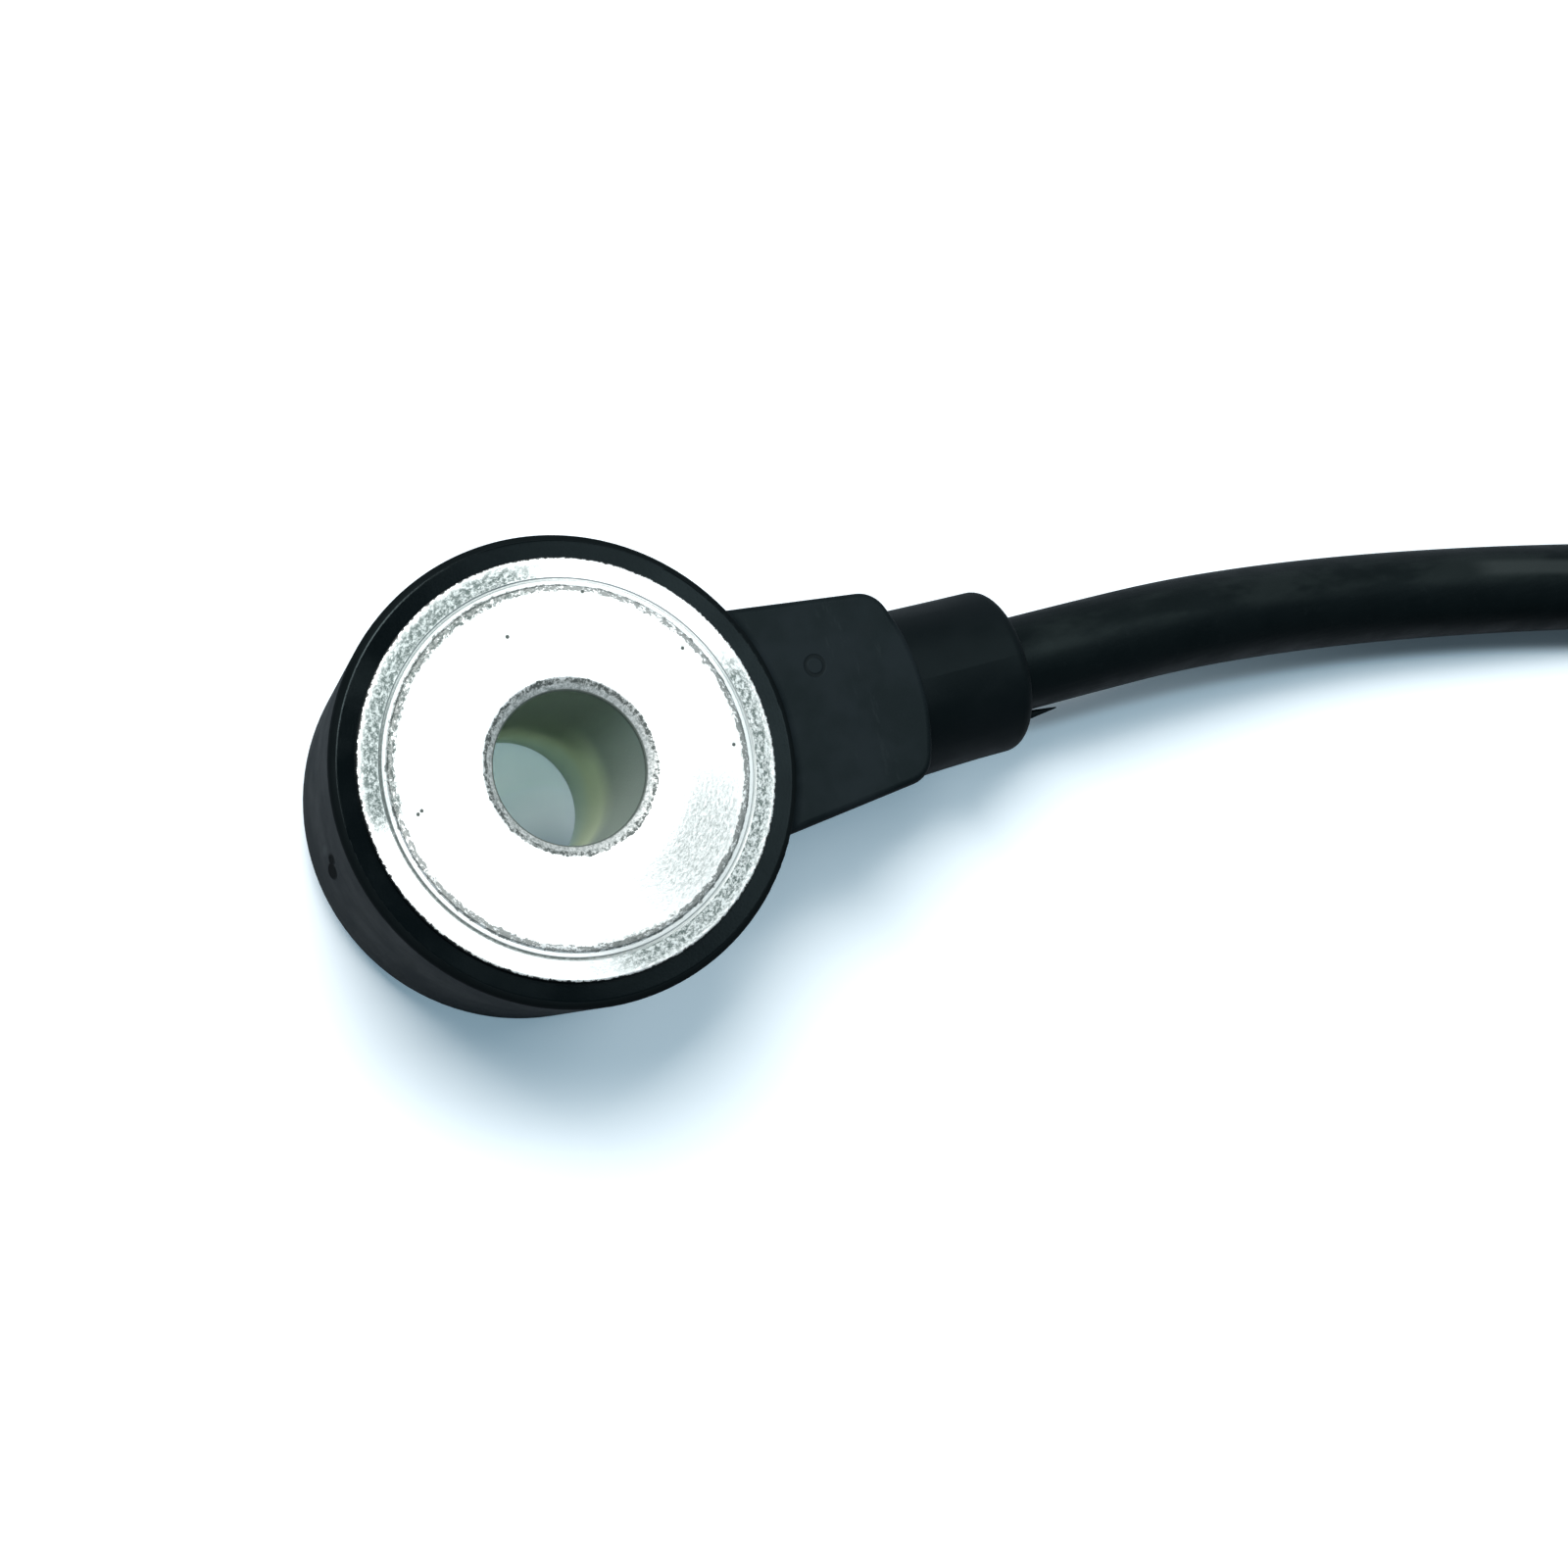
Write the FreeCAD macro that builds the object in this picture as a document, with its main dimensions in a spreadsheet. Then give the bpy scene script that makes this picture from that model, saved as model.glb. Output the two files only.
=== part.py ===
import FreeCAD, Part
import math
import os

import Sketcher
from FreeCAD import Placement, Rotation, Vector

# Engine knock sensor, ring type, with a moulded-on lead. The origin is on the bore's axis at the
# nut end, +Z points to the contact face that sits on the engine block, and +X is the way the
# neck and the lead leave. All sizes are in millimetres, angles in degrees.

os.makedirs("parts", exist_ok=True)
doc = FreeCAD.newDocument("KnockSensor")

SIZES = [
    ("bush_length", 15.7, "contact bush, face to face"),
    ("bore_dia", 8.4, "clearance bore for an M8 bolt"),
    ("bore_chamfer_width", 0.6, "chamfer of the bore at the contact face, on the radius"),
    ("bore_chamfer_depth", 0.4, "the same chamfer, along the axis"),
    ("land_dia", 20.2, "turned contact land"),
    ("land_height", 0.15, "how far the land stands proud of the flange"),
    ("flange_dia", 23.0, "flange of the bush"),
    ("flange_thickness", 2.6, "flange with its land"),
    ("tube_dia", 11.6, "barrel of the bush"),
    ("anchor_drop", 1.1, "contact face to the groove in the flange's rim"),
    ("anchor_width", 0.5, "groove in the flange's rim, which the plastic fills"),
    ("anchor_depth", 0.4, "depth of that groove"),
    ("grip_lift", 1.1, "nut end to the groove in the barrel"),
    ("grip_width", 0.5, "groove in the barrel, which the back wall fills"),
    ("grip_depth", 0.3, "depth of that groove"),
    ("sleeve_wall", 0.3, "insulating sleeve round the barrel"),
    ("stack_gap", 0.1, "sleeve to the bores of the stacked rings"),
    ("insulator_thickness", 0.4, "insulating washers"),
    ("insulator_inset", 2.0, "flange's rim to the insulating washers' rims"),
    ("contact_thickness", 0.3, "contact rings and their tabs"),
    ("contact_inset", 2.1, "flange's rim to the contact rings' rims"),
    ("piezo_thickness", 3.0, "piezo ring"),
    ("piezo_inset", 2.3, "flange's rim to the piezo ring's rim"),
    ("mass_inset", 1.6, "flange's rim to the seismic mass's rim"),
    ("mass_bevel", 0.4, "chamfer on the seismic mass's outer edges"),
    ("spring_height", 0.8, "disc spring, as clamped"),
    ("spring_thickness", 0.5, "sheet of the disc spring"),
    ("spring_inset", 2.8, "flange's rim to the disc spring's rim"),
    ("nut_lift", 1.9, "nut end of the bush to the clamping nut"),
    ("nut_height", 2.4, "clamping nut"),
    ("nut_inset", 3.1, "flange's rim to the clamping nut's rim"),
    ("nut_slot_width", 2.0, "spanner slots of the nut"),
    ("nut_slot_depth", 1.1, "depth of the spanner slots"),
    ("moulding_gap", 0.05, "shrinkage gap between the stack and the moulding"),
    ("housing_front_drop", 0.45, "contact face to the moulding's front"),
    ("housing_back_lift", 0.9, "nut end to the moulding's back"),
    ("housing_rim", 1.4, "plastic round the flange, at the ring's front"),
    ("housing_draft", 3.1, "draft of the ring's side"),
    ("housing_front_round", 0.45, "edge of the ring's front"),
    ("housing_back_round", 2.2, "edge of the ring's back"),
    ("axis_offset", 0.15, "lead's axis below the middle of the bush"),
    ("neck_cover", 1.0, "collar's upper side to the neck's top"),
    ("neck_floor", 0.55, "collar's lower side to the neck's underside"),
    ("neck_inset", 8.0, "where the neck starts inside the ring"),
    ("neck_side", 1.4, "collar's side to the neck's side, where the neck leaves the ring"),
    ("neck_taper", 6.16, "angle of each side of the neck to its axis"),
    ("neck_reach", 22.0, "bore's axis to the tip of the neck"),
    ("neck_end_radius", 12.0, "bow of the neck's end"),
    ("neck_draft", 3.5, "draft of the neck from its top down"),
    ("neck_corner_round", 1.8, "upright corners of the neck"),
    ("neck_edge_round", 0.4, "edges of the neck's top and underside"),
    ("neck_root_round", 0.8, "hollow blend from neck to ring"),
    ("collar_wall", 2.15, "collar round the lead, where it leaves the neck"),
    ("collar_draft", 0.15, "how much thinner that wall is at the collar's end"),
    ("collar_end", 29.4, "bore's axis to the collar's end"),
    ("collar_round", 0.8, "edge of the collar's end"),
    ("collar_root_round", 0.35, "hollow blend from collar to neck"),
    ("lead_grip", 5.4, "length of lead held in the collar"),
    ("lead_pitch", 2.6, "spacing of the two cores"),
    ("tab_width", 1.6, "contact tabs"),
    ("tab_turn", 10.8, "bore's axis to the upright run of the tabs"),
    ("tab_reach", 14.0, "bore's axis to the tabs' ends"),
    ("crimp_dia", 2.2, "crimp barrels"),
    ("crimp_length", 3.5, "length of the crimp barrels"),
    ("crimp_floor", 0.5, "closed end of the crimp barrels"),
    ("core_dia", 1.6, "insulated cores"),
    ("cable_dia", 5.7, "sheath of the lead"),
    ("coil_radius", 26.5, "middle of the coil's turns"),
    ("tie_width", 4.0, "bands round the coil"),
    ("tie_thickness", 0.6, "thickness of the bands"),
    ("tie_gap", 0.05, "coil to its bands"),
    ("tie_head_width", 4.8, "heads of the bands, along and across them"),
    ("tie_head_height", 2.6, "height of those heads on the bands"),
    ("plug_length", 21.0, "plug, rear face to mouth"),
    ("plug_width", 19.5, "shroud of the plug"),
    ("plug_height", 17.2, "shroud of the plug"),
    ("plug_round", 3.0, "corners of the shroud"),
    ("shroud_length", 13.0, "shroud along the plug's axis"),
    ("socket_width", 14.5, "opening of the shroud"),
    ("socket_height", 11.0, "opening of the shroud"),
    ("socket_depth", 12.4, "mouth to the socket's floor"),
    ("socket_round", 1.6, "corners of the opening"),
    ("block_width", 15.0, "rear block of the plug"),
    ("block_height", 13.0, "rear block of the plug"),
    ("block_round", 1.8, "corners of the rear block"),
    ("mouth_round", 0.5, "outer edges of the shroud's mouth and shoulder"),
    ("rib_width", 1.4, "keying ribs on the shroud"),
    ("rib_height", 0.8, "height of the keying ribs"),
    ("rib_setback", 1.2, "mouth to the keying ribs"),
    ("nose_width", 5.0, "latch nose on the shroud"),
    ("nose_height", 1.5, "height of the latch nose"),
    ("nose_setback", 3.2, "mouth to the step of the latch nose"),
    ("nose_length", 5.2, "length of the latch nose"),
    ("pin_width", 1.5, "plug pins"),
    ("pin_thickness", 0.64, "plug pins"),
    ("pin_pitch", 5.0, "spacing of the plug pins"),
    ("pin_recess", 5.2, "mouth to the pins' tips"),
    ("pin_tip", 1.0, "taper of the pins' tips"),
    ("clip_wall", 1.2, "wall of the lock clip"),
    ("clip_drop", 8.0, "legs of the lock clip"),
    ("clip_length", 5.0, "lock clip along the plug's axis"),
    ("clip_setback", 1.4, "plug's rear face to the lock clip"),
    ("clip_gap", 0.1, "lock clip to the rear block"),
    ("clip_round", 0.9, "upper corners of the lock clip"),
    ("boot_length", 10.0, "rubber boot behind the plug"),
    ("boot_tail_dia", 7.6, "boot at its free end"),
    ("boot_root_dia", 9.4, "boot at the plug, and its seat in it"),
    ("boot_seat", 5.0, "how far the boot goes into the plug"),
    ("boot_grip", 8.0, "length of lead held in the boot"),
    ("boot_rings", 1.1, "width of the boot's grooves"),
]

dim = doc.addObject("Spreadsheet::Sheet", "Dim")
for row, (alias, number, note) in enumerate(SIZES, start=1):
    dim.set(f"A{row}", alias)
    dim.set(f"B{row}", str(number))
    dim.set(f"C{row}", note)
    dim.setAlias(f"B{row}", alias)
doc.recompute()

# Levels and radii that several pieces share, as formulas on the sheet.
FRONT = "(Dim.bush_length - Dim.housing_front_drop)"
FLANGE_TOP = "(Dim.bush_length - Dim.land_height)"
FLANGE_BACK = "(Dim.bush_length - Dim.flange_thickness)"
TUBE = "(Dim.tube_dia / 2)"
BARREL_MIDDLE = "((Dim.bore_dia + Dim.tube_dia) / 4)"
STACK_BORE = "(Dim.tube_dia / 2 + Dim.sleeve_wall + Dim.stack_gap)"
SIGNAL_TOP = f"({FLANGE_BACK} - Dim.insulator_thickness)"
PIEZO_TOP = f"({SIGNAL_TOP} - Dim.contact_thickness)"
GROUND_TOP = f"({PIEZO_TOP} - Dim.piezo_thickness)"
INSULATOR_TOP = f"({GROUND_TOP} - Dim.contact_thickness)"
MASS_TOP = f"({INSULATOR_TOP} - Dim.insulator_thickness)"
NUT_BOTTOM = "Dim.nut_lift"
NUT_TOP = f"({NUT_BOTTOM} + Dim.nut_height)"
SPRING_TOP = f"({NUT_TOP} + Dim.spring_height)"
HOUSING = "(Dim.flange_dia / 2 + Dim.housing_rim)"
AXIS = "(Dim.bush_length / 2 - Dim.axis_offset)"
COLLAR_ROOT = "(Dim.cable_dia / 2 + Dim.collar_wall)"
COLLAR_TIP = "(Dim.cable_dia / 2 + Dim.collar_wall - Dim.collar_draft)"
MASS = "(Dim.flange_dia / 2 - Dim.mass_inset)"
INSULATOR = "(Dim.flange_dia / 2 - Dim.insulator_inset)"
CONTACT = "(Dim.flange_dia / 2 - Dim.contact_inset)"
PIEZO = "(Dim.flange_dia / 2 - Dim.piezo_inset)"
SPRING = "(Dim.flange_dia / 2 - Dim.spring_inset)"
NUT = "(Dim.flange_dia / 2 - Dim.nut_inset)"
LEAD_START = "(Dim.collar_end - Dim.lead_grip)"


def worth(formula):
    """The number that a formula on the sheet gives now."""
    return float(dim.evalExpression(formula))


def own_plane(body, role):
    return [feature for feature in body.Origin.OriginFeatures if feature.Role == role][0]


def new_sketch(body, role, name, offset=None):
    """An empty sketch on one of the body's own planes; offset binds parts of its offset."""
    sketch = body.newObject("Sketcher::SketchObject", name)
    sketch.AttachmentSupport = [(own_plane(body, role), "")]
    sketch.MapMode = "FlatFace"
    for key, formula in (offset or {}).items():
        sketch.setExpression(f"AttachmentOffset.Base.{key}", formula)
    return sketch


def pin(sketch, line, end, x, y):
    """Holds one end of a line at a place that two formulas give."""
    for kind, axis, formula in (("DistanceX", -2, x), ("DistanceY", -1, y)):
        number = worth(formula)
        if abs(number) < 1e-9:
            sketch.addConstraint(Sketcher.Constraint("PointOnObject", line, end, axis))
            continue
        index = sketch.addConstraint(Sketcher.Constraint(kind, -1, 1, line, end, number))
        sketch.setExpression(f"Constraints[{index}]", formula)


def outline(sketch, corners):
    """A closed straight-sided outline; each corner is a pair of formulas."""
    first = sketch.GeometryCount
    spots = [Vector(worth(x), worth(y), 0) for x, y in corners]
    for start, stop in zip(spots, spots[1:] + spots[:1]):
        sketch.addGeometry(Part.LineSegment(start, stop))
    count = len(spots)
    for i in range(count):
        after = first + (i + 1) % count
        sketch.addConstraint(Sketcher.Constraint("Coincident", first + i, 2, after, 1))
    for i, (x, y) in enumerate(corners):
        pin(sketch, first + i, 1, x, y)
    return sketch


def circle(sketch, x, y, radius):
    """A circle whose middle and radius follow formulas."""
    middle = Vector(worth(x), worth(y), 0)
    ring = sketch.addGeometry(Part.Circle(middle, Vector(0, 0, 1), worth(radius)))
    index = sketch.addConstraint(Sketcher.Constraint("Radius", ring, worth(radius)))
    sketch.setExpression(f"Constraints[{index}]", radius)
    if worth(x) == 0 and worth(y) == 0:
        sketch.addConstraint(Sketcher.Constraint("Coincident", ring, 3, -1, 1))
    else:
        pin(sketch, ring, 3, x, y)
    return sketch


def block_corners(width, height):
    """Corners of a rectangle about the sketch's origin."""
    return [
        (f"-{width} / 2", f"-{height} / 2"),
        (f"{width} / 2", f"-{height} / 2"),
        (f"{width} / 2", f"{height} / 2"),
        (f"-{width} / 2", f"{height} / 2"),
    ]


def finish(body, feature):
    body.Tip = feature
    doc.recompute()
    return feature


def turn(body, name, sketch, axis="V_Axis", angle=360, kind="Revolution"):
    feature = body.newObject(f"PartDesign::{kind}", name)
    feature.Profile = sketch
    feature.ReferenceAxis = (sketch, [axis])
    feature.Angle = angle
    sketch.Visibility = False
    return finish(body, feature)


def pad(body, name, sketch, length, midplane=False, reverse=False):
    feature = body.newObject("PartDesign::Pad", name)
    feature.Profile = sketch
    feature.setExpression("Length", length)
    feature.Midplane = midplane
    feature.Reversed = reverse
    return finish(body, feature)


def pocket(body, name, sketch, length, midplane=False, reverse=False):
    """Cuts a pocket and makes sure that it took something away."""
    before = body.Shape.Volume
    feature = body.newObject("PartDesign::Pocket", name)
    feature.Profile = sketch
    feature.setExpression("Length", length)
    feature.Midplane = midplane
    feature.Reversed = reverse
    finish(body, feature)
    if body.Shape.Volume > before - 1e-3:
        raise ValueError(name + " cuts nothing")
    return feature


def round_edges(body, name, base, radius, choose):
    """Rounds the edges of the base feature that the test picks."""
    names = [f"Edge{i}" for i, edge in enumerate(base.Shape.Edges, start=1) if choose(edge)]
    feature = body.newObject("PartDesign::Fillet", name)
    feature.Base = (base, names)
    feature.setExpression("Radius", radius)
    return finish(body, feature)


def bevel_edges(body, name, base, size, choose):
    """Chamfers the edges of the base feature that the test picks."""
    names = [f"Edge{i}" for i, edge in enumerate(base.Shape.Edges, start=1) if choose(edge)]
    feature = body.newObject("PartDesign::Chamfer", name)
    feature.Base = (base, names)
    feature.setExpression("Size", size)
    return finish(body, feature)


def runs_along(edge, axis):
    """Whether an edge runs along the axis from end to end, give or take its draft."""
    chord = edge.valueAt(edge.LastParameter) - edge.valueAt(edge.FirstParameter)
    return chord.Length > 1e-6 and abs(chord.normalize().dot(axis)) > 0.98


def level(edge, height, axis=Vector(0, 0, 1)):
    """Whether an edge lies wholly at one height along the axis."""
    ends = (edge.FirstParameter, edge.LastParameter, (edge.FirstParameter + edge.LastParameter) / 2)
    return all(abs(edge.valueAt(end).dot(axis) - height) < 1e-5 for end in ends)


def cylinder(label, radius, height, place, along_x=False):
    """A cylinder whose radius, height and place follow formulas."""
    piece = doc.addObject("Part::Cylinder", label)
    piece.setExpression("Radius", radius)
    piece.setExpression("Height", height)
    if along_x:
        piece.Placement = Placement(Vector(), Rotation(Vector(0, 1, 0), 90))
    for key, formula in zip("xyz", place):
        if formula != "0":
            piece.setExpression(f"Placement.Base.{key}", formula)
    return piece


def cut(label, base, tool):
    piece = doc.addObject("Part::Cut", label)
    piece.Base = base
    piece.Tool = tool
    return piece


def flat_ring(label, inner, outer, bottom, height):
    """A flat ring on the bore's axis."""
    disc = cylinder(label + "_disc", outer, height, ("0", "0", bottom))
    hole = cylinder(label + "_hole", inner, height, ("0", "0", bottom))
    return cut(label, disc, hole)


# The contact bush: barrel and flange turned in one, a raised land that meets the engine block,
# a chamfered bore and two grooves that the moulding grips.
bush = doc.addObject("PartDesign::Body", "contact_bush")
bush_profile = outline(
    new_sketch(bush, "XZ_Plane", "bush_profile"),
    [
        ("Dim.bore_dia / 2", "0"),
        (TUBE, "0"),
        (TUBE, FLANGE_BACK),
        ("Dim.flange_dia / 2", FLANGE_BACK),
        ("Dim.flange_dia / 2", FLANGE_TOP),
        ("Dim.land_dia / 2 + Dim.land_height", FLANGE_TOP),
        ("Dim.land_dia / 2", "Dim.bush_length"),
        ("Dim.bore_dia / 2 + Dim.bore_chamfer_width", "Dim.bush_length"),
        ("Dim.bore_dia / 2", "Dim.bush_length - Dim.bore_chamfer_depth"),
    ],
)
turn(bush, "bush_turned", bush_profile)
ANCHOR_TOP = "(Dim.bush_length - Dim.anchor_drop)"
anchor_profile = outline(
    new_sketch(bush, "XZ_Plane", "anchor_profile"),
    [
        ("Dim.flange_dia / 2 - Dim.anchor_depth", f"{ANCHOR_TOP} - Dim.anchor_width"),
        ("Dim.flange_dia / 2 + Dim.anchor_depth", f"{ANCHOR_TOP} - Dim.anchor_width"),
        ("Dim.flange_dia / 2 + Dim.anchor_depth", ANCHOR_TOP),
        ("Dim.flange_dia / 2 - Dim.anchor_depth", ANCHOR_TOP),
    ],
)
solid_before = bush.Shape.Volume
turn(bush, "anchor_groove", anchor_profile, kind="Groove")
grip_profile = outline(
    new_sketch(bush, "XZ_Plane", "grip_profile"),
    [
        (f"{TUBE} - Dim.grip_depth", "Dim.grip_lift"),
        (f"{TUBE} + Dim.grip_depth", "Dim.grip_lift"),
        (f"{TUBE} + Dim.grip_depth", "Dim.grip_lift + Dim.grip_width"),
        (f"{TUBE} - Dim.grip_depth", "Dim.grip_lift + Dim.grip_width"),
    ],
)
solid_between = bush.Shape.Volume
turn(bush, "grip_groove", grip_profile, kind="Groove")
if not solid_before > solid_between + 0.1 > bush.Shape.Volume + 0.2:
    raise ValueError("a groove of the bush cuts nothing")

# The sensing stack, from the flange back to the nut. The sleeve keeps the rings off the barrel.
sleeve = flat_ring(
    "insulating_sleeve", TUBE, f"{TUBE} + Dim.sleeve_wall", NUT_TOP, f"{FLANGE_BACK} - {NUT_TOP}"
)
upper_washer = flat_ring(
    "upper_insulating_washer", STACK_BORE, INSULATOR, SIGNAL_TOP, "Dim.insulator_thickness"
)
piezo = flat_ring("piezo_ring", STACK_BORE, PIEZO, GROUND_TOP, "Dim.piezo_thickness")
lower_washer = flat_ring(
    "lower_insulating_washer", STACK_BORE, INSULATOR, MASS_TOP, "Dim.insulator_thickness"
)

mass = doc.addObject("PartDesign::Body", "seismic_mass")
mass_profile = outline(
    new_sketch(mass, "XZ_Plane", "mass_profile"),
    [
        (STACK_BORE, SPRING_TOP),
        (MASS, SPRING_TOP),
        (MASS, MASS_TOP),
        (STACK_BORE, MASS_TOP),
    ],
)
mass_turned = turn(mass, "mass_turned", mass_profile)
mass_edge = worth(MASS)
bevel_edges(
    mass,
    "mass_bevels",
    mass_turned,
    "Dim.mass_bevel",
    lambda edge: isinstance(edge.Curve, Part.Circle) and abs(edge.Curve.Radius - mass_edge) < 1e-6,
)

# The disc spring rests on the nut with its bore and on the mass with its rim.
spring = doc.addObject("PartDesign::Body", "disc_spring")
spring_profile = outline(
    new_sketch(spring, "XZ_Plane", "spring_profile"),
    [
        (STACK_BORE, NUT_TOP),
        (SPRING, f"{SPRING_TOP} - Dim.spring_thickness"),
        (SPRING, SPRING_TOP),
        (STACK_BORE, f"{NUT_TOP} + Dim.spring_thickness"),
    ],
)
turn(spring, "spring_turned", spring_profile)

# The nut clamps the stack; two crossed slots in its free face take the spanner.
nut = doc.addObject("PartDesign::Body", "clamping_nut")
nut_profile = outline(
    new_sketch(nut, "XZ_Plane", "nut_profile"),
    [
        (TUBE, NUT_BOTTOM),
        (NUT, NUT_BOTTOM),
        (NUT, NUT_TOP),
        (TUBE, NUT_TOP),
    ],
)
turn(nut, "nut_turned", nut_profile)
slot_sketch = outline(
    new_sketch(nut, "XZ_Plane", "slot_outline"),
    [
        ("-Dim.nut_slot_width / 2", f"{NUT_BOTTOM} - Dim.nut_slot_depth"),
        ("Dim.nut_slot_width / 2", f"{NUT_BOTTOM} - Dim.nut_slot_depth"),
        ("Dim.nut_slot_width / 2", f"{NUT_BOTTOM} + Dim.nut_slot_depth"),
        ("-Dim.nut_slot_width / 2", f"{NUT_BOTTOM} + Dim.nut_slot_depth"),
    ],
)
slot = pocket(nut, "nut_slot", slot_sketch, f"2 * {NUT} + Dim.nut_slot_width", midplane=True)
slots = nut.newObject("PartDesign::PolarPattern", "nut_slots")
slots.Originals = [slot]
slots.Axis = (own_plane(nut, "Z_Axis"), [""])
slots.Angle = 90
slots.Occurrences = 2
finish(nut, slots)


def contact_ring(label, bottom, side):
    """A contact ring with a tab that runs out, turns to the lead's height and on to its crimp."""
    body = doc.addObject("PartDesign::Body", label)
    face = new_sketch(body, "XY_Plane", label + "_face", {"z": bottom})
    circle(face, "0", "0", CONTACT)
    circle(face, "0", "0", STACK_BORE)
    pad(body, label + "_plate", face, "Dim.contact_thickness")
    top = f"({bottom} + Dim.contact_thickness)"
    low = f"({AXIS} - Dim.contact_thickness / 2)"
    high = f"({AXIS} + Dim.contact_thickness / 2)"
    root = f"({CONTACT} - Dim.tab_width)"
    outside = "(Dim.tab_turn + Dim.contact_thickness)"
    runs = [
        ("out", root, outside, bottom, top),
        ("upright", "Dim.tab_turn", outside, f"min({bottom}; {low})", f"max({top}; {high})"),
        ("onward", "Dim.tab_turn", "Dim.tab_reach", low, high),
    ]
    for name, start, stop, lower, upper in runs:
        strip = new_sketch(body, "XZ_Plane", f"{label}_{name}", {"z": f"{-side} * Dim.lead_pitch / 2"})
        outline(strip, [(start, lower), (stop, lower), (stop, upper), (start, upper)])
        pad(body, f"{label}_{name}_run", strip, "Dim.tab_width", midplane=True)
    return body


signal_ring = contact_ring("signal_contact_ring", PIEZO_TOP, 1)
ground_ring = contact_ring("ground_contact_ring", INSULATOR_TOP, -1)


def crimp(label, side):
    """A barrel closed at the tab's end, with the core pushed in from the lead's end."""
    middle = (f"{side} * Dim.lead_pitch / 2", AXIS)
    barrel = cylinder(
        label + "_barrel", "Dim.crimp_dia / 2", "Dim.crimp_length", ("Dim.tab_reach",) + middle, True
    )
    hole = cylinder(
        label + "_hole",
        "Dim.core_dia / 2",
        "Dim.crimp_length - Dim.crimp_floor",
        ("Dim.tab_reach + Dim.crimp_floor",) + middle,
        True,
    )
    return cut(label, barrel, hole)


def core(label, side):
    return cylinder(
        label,
        "Dim.core_dia / 2",
        f"{LEAD_START} - Dim.tab_reach - Dim.crimp_floor",
        ("Dim.tab_reach + Dim.crimp_floor", f"{side} * Dim.lead_pitch / 2", AXIS),
        True,
    )


signal_crimp = crimp("signal_crimp", 1)
ground_crimp = crimp("ground_crimp", -1)
signal_core = core("signal_core", 1)
ground_core = core("ground_core", -1)

# The moulding starts as three forms. The ring is drafted back from its front edge.
X_AXIS = Vector(1, 0, 0)
Z_AXIS = Vector(0, 0, 1)
ring_form = doc.addObject("PartDesign::Body", "ring_form")
DRAFT_STEP = f"(({FRONT} - Dim.housing_back_lift) * tan(Dim.housing_draft))"
ring_profile = outline(
    new_sketch(ring_form, "XZ_Plane", "ring_profile"),
    [
        (BARREL_MIDDLE, "Dim.housing_back_lift"),
        (f"{HOUSING} - {DRAFT_STEP}", "Dim.housing_back_lift"),
        (HOUSING, FRONT),
        (BARREL_MIDDLE, FRONT),
    ],
)
ring_turned = turn(ring_form, "ring_turned", ring_profile)
front_level = worth(FRONT)
back_level = worth("Dim.housing_back_lift")
inner_edge = worth(BARREL_MIDDLE)


def rim(edge, height):
    """The ring's outer edge at one height."""
    return isinstance(edge.Curve, Part.Circle) and level(edge, height) and edge.Curve.Radius > inner_edge + 1


ring_back = round_edges(
    ring_form, "ring_back_round", ring_turned, "Dim.housing_back_round", lambda e: rim(e, back_level)
)
round_edges(ring_form, "ring_front_round", ring_back, "Dim.housing_front_round", lambda e: rim(e, front_level))

# The neck: a flat-topped pad with tapering sides and a bowed end, drafted from its top down.
neck_form = doc.addObject("PartDesign::Body", "neck_form")
NECK_TOP = f"({AXIS} + {COLLAR_ROOT} + Dim.neck_cover)"
NECK_BOTTOM = f"({AXIS} - {COLLAR_ROOT} - Dim.neck_floor)"
START_HALF = (
    f"({COLLAR_ROOT} + Dim.neck_side + ({HOUSING} - Dim.neck_inset) * tan(Dim.neck_taper))"
)
neck_plan = new_sketch(neck_form, "XY_Plane", "neck_plan", {"z": NECK_TOP})
start_x = worth("Dim.neck_inset")
start_y = worth(START_HALF)
slope = math.tan(math.radians(worth("Dim.neck_taper")))
bow = worth("Dim.neck_end_radius")
bow_x = worth("Dim.neck_reach - Dim.neck_end_radius")
# Where the straight side meets the bowed end: a first estimate for the sketch to settle.
reach_x = bow_x + math.sqrt(bow**2 - (start_y - slope * (bow_x + bow - start_x)) ** 2)
reach_y = start_y - slope * (reach_x - start_x)
spread = math.atan2(reach_y, reach_x - bow_x)
near = Vector(start_x, -start_y, 0)
far = Vector(start_x, start_y, 0)
neck_plan.addGeometry(Part.LineSegment(far, near))
neck_plan.addGeometry(Part.LineSegment(near, Vector(reach_x, -reach_y, 0)))
bow_circle = Part.Circle(Vector(bow_x, 0, 0), Z_AXIS, bow)
neck_plan.addGeometry(Part.ArcOfCircle(bow_circle, -spread, spread))
neck_plan.addGeometry(Part.LineSegment(Vector(reach_x, reach_y, 0), far))
neck_plan.addConstraint(Sketcher.Constraint("Coincident", 0, 2, 1, 1))
neck_plan.addConstraint(Sketcher.Constraint("Coincident", 1, 2, 2, 1))
neck_plan.addConstraint(Sketcher.Constraint("Coincident", 2, 2, 3, 1))
neck_plan.addConstraint(Sketcher.Constraint("Coincident", 3, 2, 0, 1))
pin(neck_plan, 0, 1, "Dim.neck_inset", START_HALF)
pin(neck_plan, 0, 2, "Dim.neck_inset", f"-{START_HALF}")
pin(neck_plan, 2, 3, "Dim.neck_reach - Dim.neck_end_radius", "0")
for kind, geometry, formula in (("Radius", (2,), "Dim.neck_end_radius"),):
    held = neck_plan.addConstraint(Sketcher.Constraint(kind, *geometry, worth(formula)))
    neck_plan.setExpression(f"Constraints[{held}]", formula)
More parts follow.
